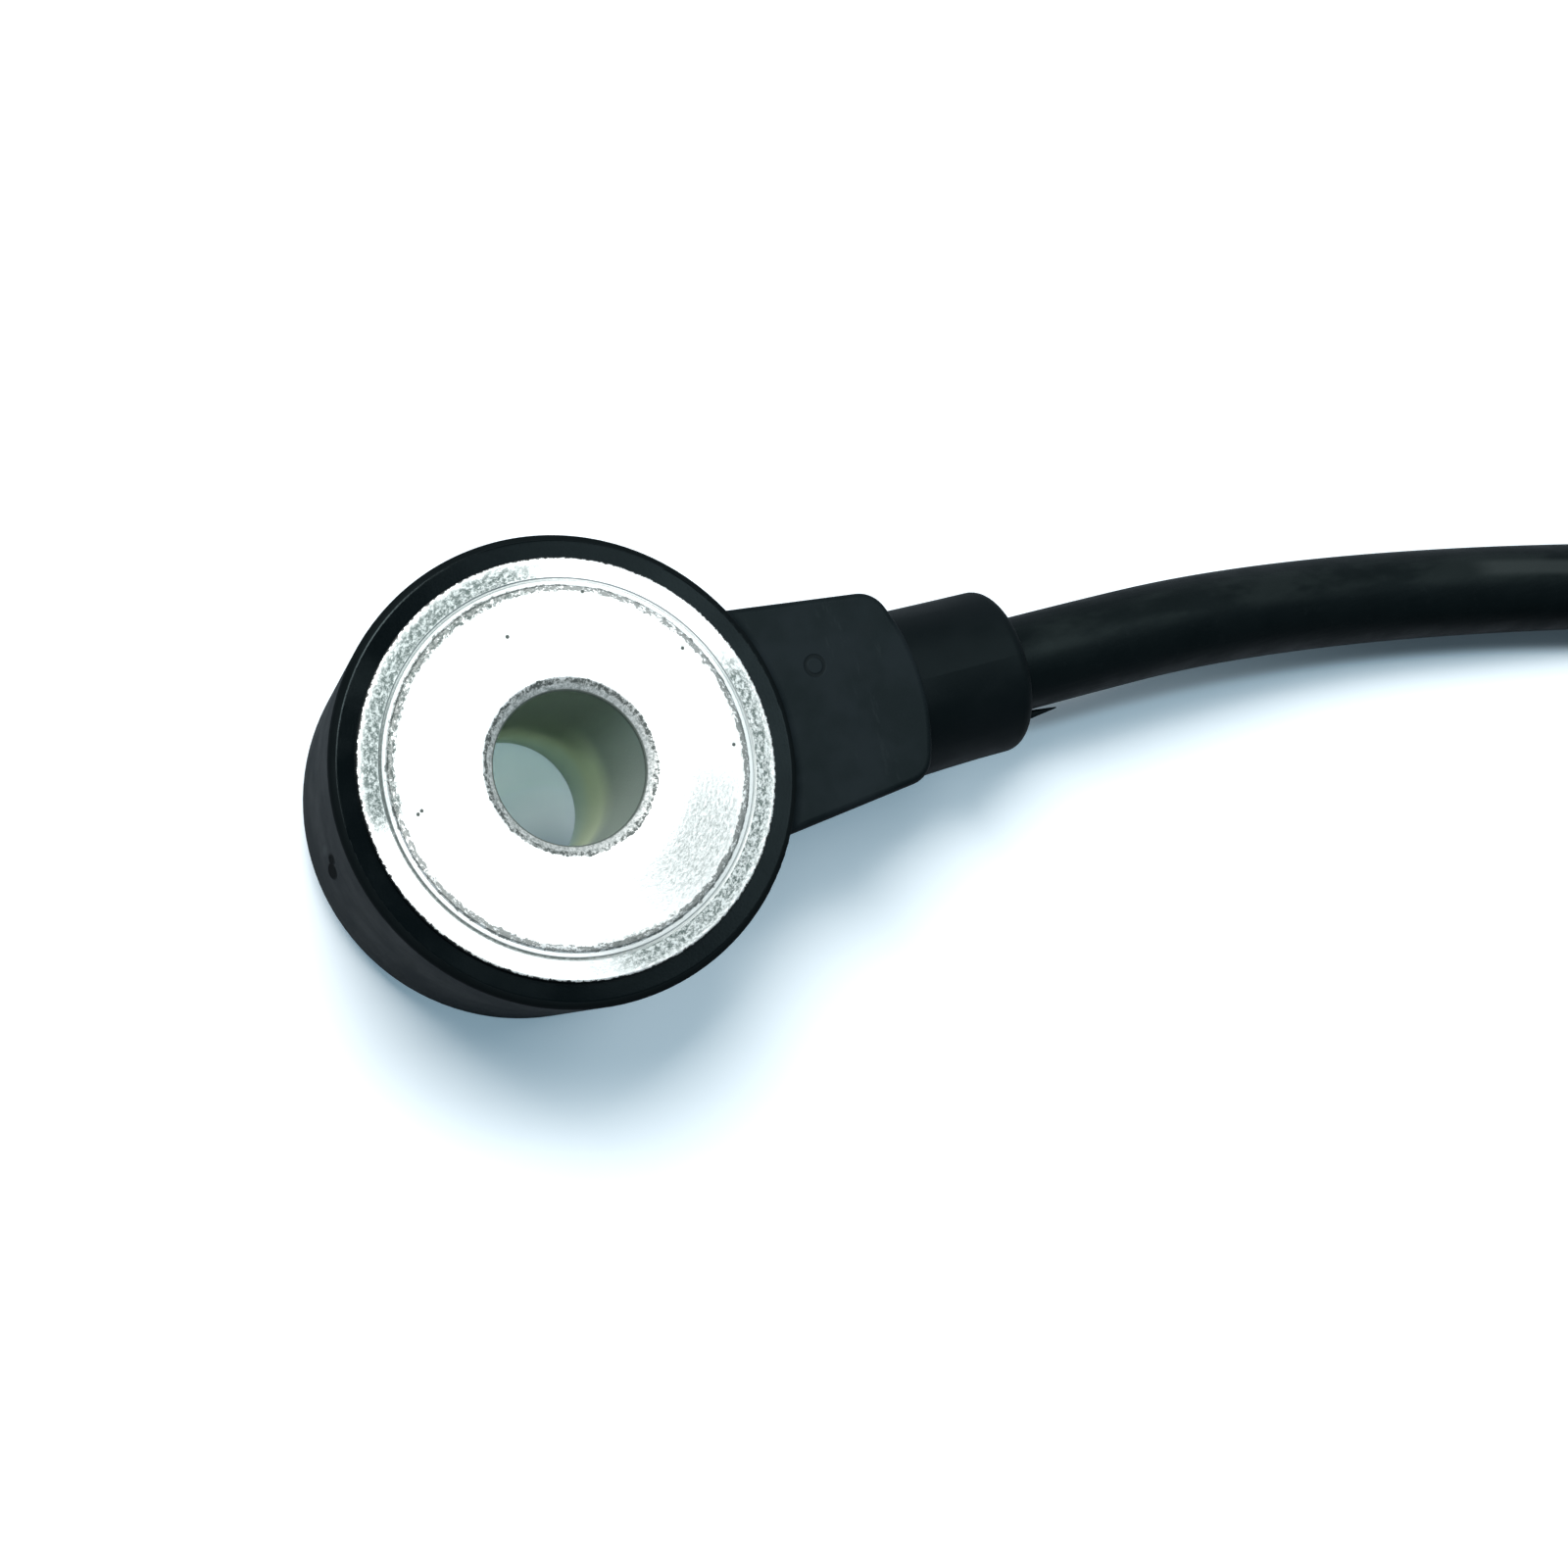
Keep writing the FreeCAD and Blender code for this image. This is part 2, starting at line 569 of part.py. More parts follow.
side_angle = Sketcher.Constraint("Angle", -1, 1, 1, 1, math.radians(worth("Dim.neck_taper")))
held = neck_plan.addConstraint(side_angle)
neck_plan.setExpression(f"Constraints[{held}]", "Dim.neck_taper * 1 deg")
neck_plan.addConstraint(Sketcher.Constraint("Symmetric", 2, 1, 2, 2, -1))
neck_pad = neck_form.newObject("PartDesign::Pad", "neck_pad")
neck_pad.Profile = neck_plan
neck_pad.Reversed = True
neck_pad.setExpression("Length", f"{NECK_TOP} - {NECK_BOTTOM}")
neck_pad.setExpression("TaperAngle", "-Dim.neck_draft")
finish(neck_form, neck_pad)
inset_line = worth("Dim.neck_inset") + 1.5
neck_corners = round_edges(
    neck_form,
    "neck_corner_rounds",
    neck_pad,
    "Dim.neck_corner_round",
    lambda e: runs_along(e, Z_AXIS) and e.CenterOfMass.x > inset_line,
)
neck_top_level = worth(NECK_TOP)
neck_bottom_level = worth(NECK_BOTTOM)
round_edges(
    neck_form,
    "neck_edge_rounds",
    neck_corners,
    "Dim.neck_edge_round",
    lambda e: (level(e, neck_top_level) or level(e, neck_bottom_level)) and e.CenterOfMass.x > inset_line,
)

# The collar, round and slightly tapered, about the lead's axis.
collar_form = doc.addObject("PartDesign::Body", "collar_form")
collar_profile = outline(
    new_sketch(collar_form, "XZ_Plane", "collar_profile", {"y": AXIS}),
    [
        ("Dim.tab_reach", "0"),
        ("Dim.collar_end", "0"),
        ("Dim.collar_end", COLLAR_TIP),
        ("Dim.neck_reach", COLLAR_ROOT),
        ("Dim.tab_reach", COLLAR_ROOT),
    ],
)
collar_turned = turn(collar_form, "collar_turned", collar_profile, axis="H_Axis")
collar_tip = worth("Dim.collar_end")
round_edges(
    collar_form,
    "collar_end_round",
    collar_turned,
    "Dim.collar_round",
    lambda e: isinstance(e.Curve, Part.Circle) and level(e, collar_tip, X_AXIS),
)

moulding = doc.addObject("Part::MultiFuse", "moulding")
moulding.Shapes = [ring_form, neck_form, collar_form]
doc.recompute()


def shared_edges(whole, one, other):
    """Numbers of the edges where two of the fused forms meet."""
    found = []
    for number, edge in enumerate(whole.Shape.Edges, start=1):
        span = edge.LastParameter - edge.FirstParameter
        spots = [Part.Vertex(edge.valueAt(edge.FirstParameter + span * k)) for k in (0.2, 0.5, 0.8)]
        if all(spot.distToShape(form.Shape)[0] < 1e-4 for spot in spots for form in (one, other)):
            found.append(number)
    return found


blend = doc.addObject("Part::Fillet", "moulding_blend")
blend.Base = moulding
neck_blend = worth("Dim.neck_root_round")
collar_blend = worth("Dim.collar_root_round")
blend.Edges = [(n, neck_blend, neck_blend) for n in shared_edges(moulding, ring_form, neck_form)]
blend.Edges += [(n, collar_blend, collar_blend) for n in shared_edges(moulding, neck_form, collar_form)]

# What the plastic flows round: bush, stack, contacts, cores and the end of the lead.
stack_space = cylinder(
    "stack_space",
    f"{MASS} + Dim.moulding_gap",
    f"{FLANGE_BACK} - {NUT_TOP}",
    ("0", "0", NUT_TOP),
)
nut_space = cylinder(
    "nut_space",
    f"{NUT} + Dim.moulding_gap",
    "Dim.nut_height",
    ("0", "0", NUT_BOTTOM),
)
lead_space = cylinder(
    "lead_space", "Dim.cable_dia / 2", "2 * Dim.lead_grip", (LEAD_START, "0", AXIS), True
)
inserts = doc.addObject("Part::MultiFuse", "inserts")
inserts.Shapes = [
    bush,
    stack_space,
    nut_space,
    signal_ring,
    ground_ring,
    signal_crimp,
    ground_crimp,
    signal_core,
    ground_core,
    lead_space,
]
housing = cut("housing", blend, inserts)

# The lead. Its route is a list of points, with the last turn of each bend as wide as its runs allow.
lead_x = worth(LEAD_START)
lead_z = worth(AXIS)
cable_radius = worth("Dim.cable_dia / 2")
tie_lift = worth("Dim.tie_thickness + Dim.tie_gap")
lower_turn = tie_lift + cable_radius
upper_turn = lower_turn + 2 * cable_radius
LEAD_POINTS = [
    (lead_x, 0.0, lead_z),
    (34.3, 0.0, lead_z),
    (43.2, -0.05, 6.8),
    (55.0, -0.95, 4.6),
    (67.5, -2.9, 3.9),
    (81.5, -5.6, cable_radius),
    (95.5, -9.6, cable_radius),
    (109.0, -13.9, lower_turn),
]
PLUG_Y = -7.5
PLUG_Z = 8.6
TAIL_POINTS = [
    (89.97, -15.04, upper_turn),
    (100.89, -10.06, upper_turn),
    (110.4, PLUG_Y, PLUG_Z),
    (123.8, PLUG_Y, PLUG_Z),
]


def tube(label, points):
    """A round tube along straight runs joined by tangent arcs."""
    spots = [Vector(*point) for point in points]
    edges = []
    start = spots[0]
    radii = []
    for before, corner, after in zip(spots, spots[1:], spots[2:]):
        back = (before - corner).normalize()
        ahead = (after - corner).normalize()
        half = back.getAngle(ahead) / 2
        reach = 0.45 * min((before - corner).Length, (after - corner).Length)
        radius = reach * math.tan(half)
        entry = corner + back * reach
        leave = corner + ahead * reach
        middle = (back + ahead).normalize()
        crown = corner + middle * (radius / math.sin(half) - radius)
        edges.append(Part.LineSegment(start, entry).toShape())
        edges.append(Part.Arc(entry, crown, leave).toShape())
        start = leave
        radii.append(round(radius, 1))
    edges.append(Part.LineSegment(start, spots[-1]).toShape())
    path = Part.Wire(edges)
    section = Part.Face(Part.Wire(Part.Circle(spots[0], spots[1] - spots[0], cable_radius).toShape()))
    piece = doc.addObject("Part::Feature", label)
    piece.Shape = path.makePipe(section)
    piece.Placement = Placement()
    full = math.pi * cable_radius**2 * path.Length
    print(label, "length", round(path.Length, 1), "radii", radii)
    print(label, "volume", round(piece.Shape.Volume, 2), "of", round(full, 2))
    if abs(piece.Shape.Volume - full) > 0.01 * full:
        raise ValueError(label + " has the wrong volume")
    return piece


lead = tube("cable_lead", LEAD_POINTS)
tail = tube("cable_tail", TAIL_POINTS)

# The coil: two turns, one on the other, as one closed ring of their outer shape.
heading = math.atan2(LEAD_POINTS[-1][1] - LEAD_POINTS[-2][1], LEAD_POINTS[-1][0] - LEAD_POINTS[-2][0])
coil_x = LEAD_POINTS[-1][0] + worth("Dim.coil_radius") * math.sin(heading)
coil_y = LEAD_POINTS[-1][1] - worth("Dim.coil_radius") * math.cos(heading)
print("coil centre", round(coil_x, 2), round(coil_y, 2), "heading", round(math.degrees(heading), 2))
COIL_BOTTOM = "(Dim.tie_thickness + Dim.tie_gap + Dim.cable_dia / 2)"
COIL_TOP = f"({COIL_BOTTOM} + Dim.cable_dia)"
COIL_MIDDLE = f"({COIL_BOTTOM} + Dim.cable_dia / 2)"
TIE_FACE = "(Dim.coil_radius + Dim.cable_dia / 2 + Dim.tie_gap + Dim.tie_thickness / 2)"


def stadium(sketch, radius):
    """An upright slot with round ends about the middle of the coil's turns."""
    first = sketch.GeometryCount
    size = worth(radius)
    middle = worth("Dim.coil_radius")
    low = Vector(middle, worth(COIL_BOTTOM), 0)
    high = Vector(middle, worth(COIL_TOP), 0)
    side = Vector(size, 0, 0)
    sketch.addGeometry(Part.ArcOfCircle(Part.Circle(low, Z_AXIS, size), math.pi, 2 * math.pi))
    sketch.addGeometry(Part.LineSegment(low + side, high + side))
    sketch.addGeometry(Part.ArcOfCircle(Part.Circle(high, Z_AXIS, size), 0, math.pi))
    sketch.addGeometry(Part.LineSegment(high - side, low - side))
    joints = [(0, 2, 1, 1), (1, 2, 2, 1), (2, 2, 3, 1), (3, 2, 0, 1)]
    for one, end, other, start in joints:
        tangent = Sketcher.Constraint("Tangent", first + one, end, first + other, start)
        sketch.addConstraint(tangent)
    pin(sketch, first, 3, "Dim.coil_radius", COIL_BOTTOM)
    pin(sketch, first + 2, 3, "Dim.coil_radius", COIL_TOP)
    index = sketch.addConstraint(Sketcher.Constraint("Radius", first, size))
    sketch.setExpression(f"Constraints[{index}]", radius)
    return sketch


coil = doc.addObject("PartDesign::Body", "cable_coil")
coil_section = stadium(new_sketch(coil, "XZ_Plane", "coil_section"), "Dim.cable_dia / 2")
turn(coil, "coil_turned", coil_section)
coil.Placement = Placement(Vector(coil_x, coil_y, 0), Rotation())


def tie(label, bearing):
    """A flat band round both turns, at one bearing of the coil."""
    body = doc.addObject("PartDesign::Body", label)
    section = new_sketch(body, "XZ_Plane", label + "_section")
    stadium(section, "Dim.cable_dia / 2 + Dim.tie_gap + Dim.tie_thickness")
    stadium(section, "Dim.cable_dia / 2 + Dim.tie_gap")
    band = turn(body, label + "_band", section)
    band.Midplane = True
    band.setExpression("Angle", "Dim.tie_width / Dim.coil_radius * 180 / pi")
    finish(body, band)
    head = outline(
        new_sketch(body, "XZ_Plane", label + "_head_outline"),
        [
            (TIE_FACE, f"{COIL_MIDDLE} - Dim.tie_head_width / 2"),
            (f"{TIE_FACE} + Dim.tie_head_height", f"{COIL_MIDDLE} - Dim.tie_head_width / 2"),
            (f"{TIE_FACE} + Dim.tie_head_height", f"{COIL_MIDDLE} + Dim.tie_head_width / 2"),
            (TIE_FACE, f"{COIL_MIDDLE} + Dim.tie_head_width / 2"),
        ],
    )
    pad(body, label + "_head", head, "Dim.tie_head_width", midplane=True)
    body.Placement = Placement(Vector(coil_x, coil_y, 0), Rotation(Z_AXIS, bearing))
    return body


near_tie = tie("near_coil_tie", 225)
far_tie = tie("far_coil_tie", 330)

# The plug lies on its side of the coil with its mouth towards +X. Its rear face is the zero of
# its own sketches, and every piece of it is placed from the end of the lead.
plug_x = TAIL_POINTS[-1][0] - worth("Dim.boot_grip - Dim.boot_length")
PLUG_REAR = Vector(plug_x, PLUG_Y, PLUG_Z)
SIDE_ON = Placement(PLUG_REAR, Rotation())


def slab(body, name, width, height, start, length, cutting=False):
    """A rectangular pad or pocket across the plug's axis, from start on towards the mouth."""
    sketch = new_sketch(body, "YZ_Plane", name + "_outline", {"z": start})
    outline(sketch, block_corners(width, height))
    if cutting:
        return pocket(body, name, sketch, length, reverse=True)
    return pad(body, name, sketch, length)


def corner_edges(width, height, start, stop):
    """Picks the four lengthwise edges of a slab."""
    half_width = worth(width) / 2
    half_height = worth(height) / 2
    first = worth(start)
    last = worth(stop)

    def choose(edge):
        spot = edge.CenterOfMass
        fits = abs(abs(spot.y) - half_width) < 1e-5 and abs(abs(spot.z) - half_height) < 1e-5
        return fits and runs_along(edge, X_AXIS) and first < spot.x < last

    return choose


plug = doc.addObject("PartDesign::Body", "plug_housing")
SHROUD_START = "(Dim.plug_length - Dim.shroud_length)"
SOCKET_FLOOR = "(Dim.plug_length - Dim.socket_depth)"
slab(plug, "rear_block", "Dim.block_width", "Dim.block_height", "0", SHROUD_START)
plug_block = round_edges(
    plug,
    "rear_block_rounds",
    plug.Tip,
    "Dim.block_round",
    corner_edges("Dim.block_width", "Dim.block_height", "0", SHROUD_START),
)
slab(plug, "shroud", "Dim.plug_width", "Dim.plug_height", SHROUD_START, "Dim.shroud_length")
round_edges(
    plug,
    "shroud_rounds",
    plug.Tip,
    "Dim.plug_round",
    corner_edges("Dim.plug_width", "Dim.plug_height", SHROUD_START, "Dim.plug_length"),
)
round_edges(
    plug,
    "shroud_mouth_rounds",
    plug.Tip,
    "Dim.mouth_round",
    lambda edge: level(edge, worth("Dim.plug_length"), X_AXIS),
)
slab(plug, "socket", "Dim.socket_width", "Dim.socket_height", SOCKET_FLOOR, "Dim.socket_depth", True)
round_edges(
    plug,
    "socket_rounds",
    plug.Tip,
    "Dim.socket_round",
    corner_edges("Dim.socket_width", "Dim.socket_height", SOCKET_FLOOR, "Dim.plug_length"),
)
seat_sketch = new_sketch(plug, "YZ_Plane", "boot_seat_outline")
circle(seat_sketch, "0", "0", "Dim.boot_root_dia / 2")
pocket(plug, "boot_seat", seat_sketch, "Dim.boot_seat", reverse=True)
pin_holes = new_sketch(plug, "YZ_Plane", "pin_holes_outline", {"z": "Dim.boot_seat"})
for side in (-1, 1):
    outline(
        pin_holes,
        [
            (f"{side} * Dim.pin_pitch / 2 - Dim.pin_width / 2", "-Dim.pin_thickness / 2"),
            (f"{side} * Dim.pin_pitch / 2 + Dim.pin_width / 2", "-Dim.pin_thickness / 2"),
            (f"{side} * Dim.pin_pitch / 2 + Dim.pin_width / 2", "Dim.pin_thickness / 2"),
            (f"{side} * Dim.pin_pitch / 2 - Dim.pin_width / 2", "Dim.pin_thickness / 2"),
        ],
    )
pocket(plug, "pin_holes", pin_holes, f"{SOCKET_FLOOR} - Dim.boot_seat", reverse=True)
ribs = new_sketch(plug, "YZ_Plane", "ribs_outline", {"z": SHROUD_START})
for side in (-1, 1):
    middle = f"{side} * (Dim.plug_width / 2 - Dim.plug_round - Dim.rib_width / 2)"
    outline(
        ribs,
        [
            (f"{middle} - Dim.rib_width / 2", "Dim.plug_height / 2 - Dim.rib_height"),
            (f"{middle} + Dim.rib_width / 2", "Dim.plug_height / 2 - Dim.rib_height"),
            (f"{middle} + Dim.rib_width / 2", "Dim.plug_height / 2 + Dim.rib_height"),
            (f"{middle} - Dim.rib_width / 2", "Dim.plug_height / 2 + Dim.rib_height"),
        ],
    )
pad(plug, "keying_ribs", ribs, "Dim.shroud_length - Dim.rib_setback")
nose_sketch = outline(
    new_sketch(plug, "XZ_Plane", "latch_nose_profile"),
    [
        ("Dim.plug_length - Dim.nose_setback", "Dim.plug_height / 2 - Dim.nose_height"),
        ("Dim.plug_length - Dim.nose_setback", "Dim.plug_height / 2"),
        ("Dim.plug_length - Dim.nose_setback - Dim.nose_length / 2", "Dim.plug_height / 2 + Dim.nose_height"),
        ("Dim.plug_length - Dim.nose_setback - Dim.nose_length", "Dim.plug_height / 2 + Dim.nose_height"),
        ("Dim.plug_length - Dim.nose_setback - Dim.nose_length", "Dim.plug_height / 2 - Dim.nose_height"),
    ],
)
pad(plug, "latch_nose", nose_sketch, "Dim.nose_width", midplane=True)
plug.Placement = SIDE_ON


def plug_pin(label, side):
    """A flat pin with a tapered tip, held in the web behind the socket."""
    body = doc.addObject("PartDesign::Body", label)
    tip = "(Dim.plug_length - Dim.pin_recess)"
    inner = f"{side} * Dim.pin_pitch / 2 - Dim.pin_width / 2"
    outer = f"{side} * Dim.pin_pitch / 2 + Dim.pin_width / 2"
    blade = outline(
        new_sketch(body, "XY_Plane", label + "_blade"),
        [
            ("Dim.boot_seat", inner),
            (f"{tip} - Dim.pin_tip", inner),
            (tip, f"{inner} + Dim.pin_width / 4"),
            (tip, f"{outer} - Dim.pin_width / 4"),
            (f"{tip} - Dim.pin_tip", outer),
            ("Dim.boot_seat", outer),
        ],
    )
    pad(body, label + "_pad", blade, "Dim.pin_thickness", midplane=True)
    body.Placement = SIDE_ON
    return body


signal_pin = plug_pin("plug_pin_signal", 1)
ground_pin = plug_pin("plug_pin_ground", -1)

clip = doc.addObject("PartDesign::Body", "plug_lock_clip")
clip_sketch = new_sketch(clip, "YZ_Plane", "clip_outline", {"z": "Dim.clip_setback"})
CLIP_IN = "(Dim.block_width / 2 + Dim.clip_gap)"
CLIP_OUT = f"({CLIP_IN} + Dim.clip_wall)"
CLIP_UNDER = "(Dim.block_height / 2 + Dim.clip_gap)"
CLIP_OVER = f"({CLIP_UNDER} + Dim.clip_wall)"
CLIP_FOOT = f"({CLIP_OVER} - Dim.clip_drop)"
outline(
    clip_sketch,
    [
        (f"-{CLIP_OUT}", CLIP_FOOT),
        (f"-{CLIP_IN}", CLIP_FOOT),
        (f"-{CLIP_IN}", CLIP_UNDER),
        (CLIP_IN, CLIP_UNDER),
        (CLIP_IN, CLIP_FOOT),
        (CLIP_OUT, CLIP_FOOT),
        (CLIP_OUT, CLIP_OVER),
        (f"-{CLIP_OUT}", CLIP_OVER),
    ],
)
pad(clip, "clip_pad", clip_sketch, "Dim.clip_length")
round_edges(
    clip,
    "clip_rounds",
    clip.Tip,
    "Dim.clip_round",
    corner_edges(
        f"2 * {CLIP_OUT}", f"2 * {CLIP_OVER}", "Dim.clip_setback", "Dim.clip_setback + Dim.clip_length"
    ),
)
clip.Placement = SIDE_ON

# The boot tapers along the lead, and its front end seals the plug's rear bore.
boot = doc.addObject("PartDesign::Body", "plug_boot")


def boot_radius(place):
    return f"(Dim.boot_tail_dia + (Dim.boot_root_dia - Dim.boot_tail_dia) * (1 + ({place}) / Dim.boot_length)) / 2"


grooves = []
for share in (0.82, 0.6, 0.38):
    near = f"-{share} * Dim.boot_length"
    far = f"{near} + Dim.boot_rings"
    floor = f"(Dim.cable_dia / 2 + 0.55 * ({boot_radius(near)} - Dim.cable_dia / 2))"
    grooves += [(near, boot_radius(near)), (near, floor), (far, floor), (far, boot_radius(far))]
boot_profile = outline(
    new_sketch(boot, "XZ_Plane", "boot_profile"),
    [
        ("-Dim.boot_length", "Dim.cable_dia / 2"),
        ("-Dim.boot_length", "Dim.boot_tail_dia / 2"),
        *grooves,
        ("0", "Dim.boot_root_dia / 2"),
        ("Dim.boot_seat", "Dim.boot_root_dia / 2"),
        ("Dim.boot_seat", "0"),
        ("Dim.boot_grip - Dim.boot_length", "0"),
        ("Dim.boot_grip - Dim.boot_length", "Dim.cable_dia / 2"),
    ],
)
turn(boot, "boot_turned", boot_profile, axis="H_Axis")
boot.Placement = SIDE_ON

doc.recompute()
failed = [o.Label for o in doc.Objects if "Invalid" in o.State or "Error" in o.State]
if failed:
    raise ValueError("failed: " + ", ".join(failed))

NODES = [
    bush,
    sleeve,
    upper_washer,
    signal_ring,
    piezo,
    ground_ring,
    lower_washer,
    mass,
    spring,
    nut,
    signal_crimp,
    ground_crimp,
    signal_core,
    ground_core,
    housing,
    lead,
    coil,
    tail,
    near_tie,
    far_tie,
    plug,
    signal_pin,
    ground_pin,
    clip,
    boot,
]
for node in NODES:
    shape = node.Shape
    if shape.isNull() or not shape.isValid() or shape.Volume <= 0:
        raise ValueError(node.Label + " is not a valid solid")
    if len(shape.Solids) != 1:
        raise ValueError(node.Label + " is not one solid")
for node in NODES:
    node.Shape.exportStep(f"parts/{node.Label}.step")
    print(node.Label, round(node.Shape.Volume, 2))
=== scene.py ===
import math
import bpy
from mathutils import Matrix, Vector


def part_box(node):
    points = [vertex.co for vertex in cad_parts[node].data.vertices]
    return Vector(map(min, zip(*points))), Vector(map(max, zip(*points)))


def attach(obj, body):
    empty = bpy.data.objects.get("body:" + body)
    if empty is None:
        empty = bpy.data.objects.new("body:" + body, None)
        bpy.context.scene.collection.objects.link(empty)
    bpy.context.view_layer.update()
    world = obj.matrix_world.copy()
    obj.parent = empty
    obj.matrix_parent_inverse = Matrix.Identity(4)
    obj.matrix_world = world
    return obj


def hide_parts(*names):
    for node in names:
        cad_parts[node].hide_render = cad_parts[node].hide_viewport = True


bl_info = {
    "name": "Engine knock sensor",
    "version": (1, 0, 0),
    "blender": (4, 5, 0),
    "location": "3D View > Sidebar > Knock sensor",
    "description": "Finishes a ring-type knock sensor with its moulded-on lead and plug",
    "category": "Object",
}

import bpy
from bpy.props import FloatProperty, FloatVectorProperty, IntProperty, PointerProperty
from mathutils import Color, Matrix, Vector

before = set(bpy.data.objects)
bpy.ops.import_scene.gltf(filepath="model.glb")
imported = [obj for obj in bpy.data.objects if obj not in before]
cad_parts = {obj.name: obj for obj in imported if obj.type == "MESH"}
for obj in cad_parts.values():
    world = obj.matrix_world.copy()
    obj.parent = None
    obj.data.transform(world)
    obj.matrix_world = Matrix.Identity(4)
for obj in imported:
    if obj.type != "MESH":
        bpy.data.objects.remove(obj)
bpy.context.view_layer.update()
MM = 0.001


def length(name, description, default):
    """A size in metres, shown in the scene's own unit."""
    return FloatProperty(
        name=name, description=description, default=default, unit="LENGTH", precision=5
    )


def count(name, description, default, least):
    """A number of steps or points."""
    return IntProperty(name=name, description=description, default=default, min=least)


def colour(name, description, default):
    """A colour of a finish."""
    return FloatVectorProperty(
        name=name, description=description, default=default, size=3, min=0, max=1, subtype="COLOR"
    )


class SensorSizes(bpy.types.PropertyGroup):
    """Sizes of the pieces that are drawn here, taken from the loaded model where it has them."""

    bush_height: length("Bush height", "Contact face above the floor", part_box("contact_bush")[1][2])
    flange_radius: length("Flange radius", "Rim of the metal flange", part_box("contact_bush")[1][0])
    flange_thickness: length("Flange thickness", "From the land to the flange's back", 2.6 * MM)
    bore_radius: length("Bore radius", "Bore for the bolt", 4.2 * MM)
    barrel_radius: length("Barrel radius", "Outside of the bush's barrel", 5.8 * MM)
    land_radius: length("Land radius", "Turned land that meets the engine", 9.95 * MM)
    land_step: length("Land step", "Height of the land above the rest of the face", 0.15 * MM)
    spin_steps: count("Turned steps", "Flats round a turned piece", 256, 32)
    lead_diameter: length("Lead diameter", "Sheath of the lead", 5.7 * MM)
    coil_radius: length("Coil radius", "Middle of the coil's turns", 26.5 * MM)
    coil_steps: count("Coil points", "Points of the coil, all turns", 45, 24)


class SensorColours(bpy.types.PropertyGroup):
    """Colours of the finishes."""

    zinc: colour("Zinc", "Bright zinc on the bush", (0.86, 0.88, 0.87))
    zinc_dull: colour("Dull zinc", "Zinc in the scuffed zones", (0.12, 0.155, 0.147))
    moulding: colour("Moulding", "Black glass-filled plastic", (0.0022, 0.0042, 0.005))
    sheath: colour("Lead sheath", "Black sheath of the lead", (0.0008, 0.0018, 0.0021))
    clip: colour("Lock clip", "Coloured lock of the plug", (0.36, 0.035, 0.02))
    floor: colour("Floor", "White table", (0.93, 0.95, 0.97))


# The seen stretch of the lead runs straight to this x, in millimetres, and then bends sideways
# by this share of the square of the way beyond it.
BEND_START = 38.0
BEND_RATE = 0.00333

# A faint blue-green cast of the shine on black plastic and rubber.
BLACK_SHINE = (0.72, 0.95, 1.0)


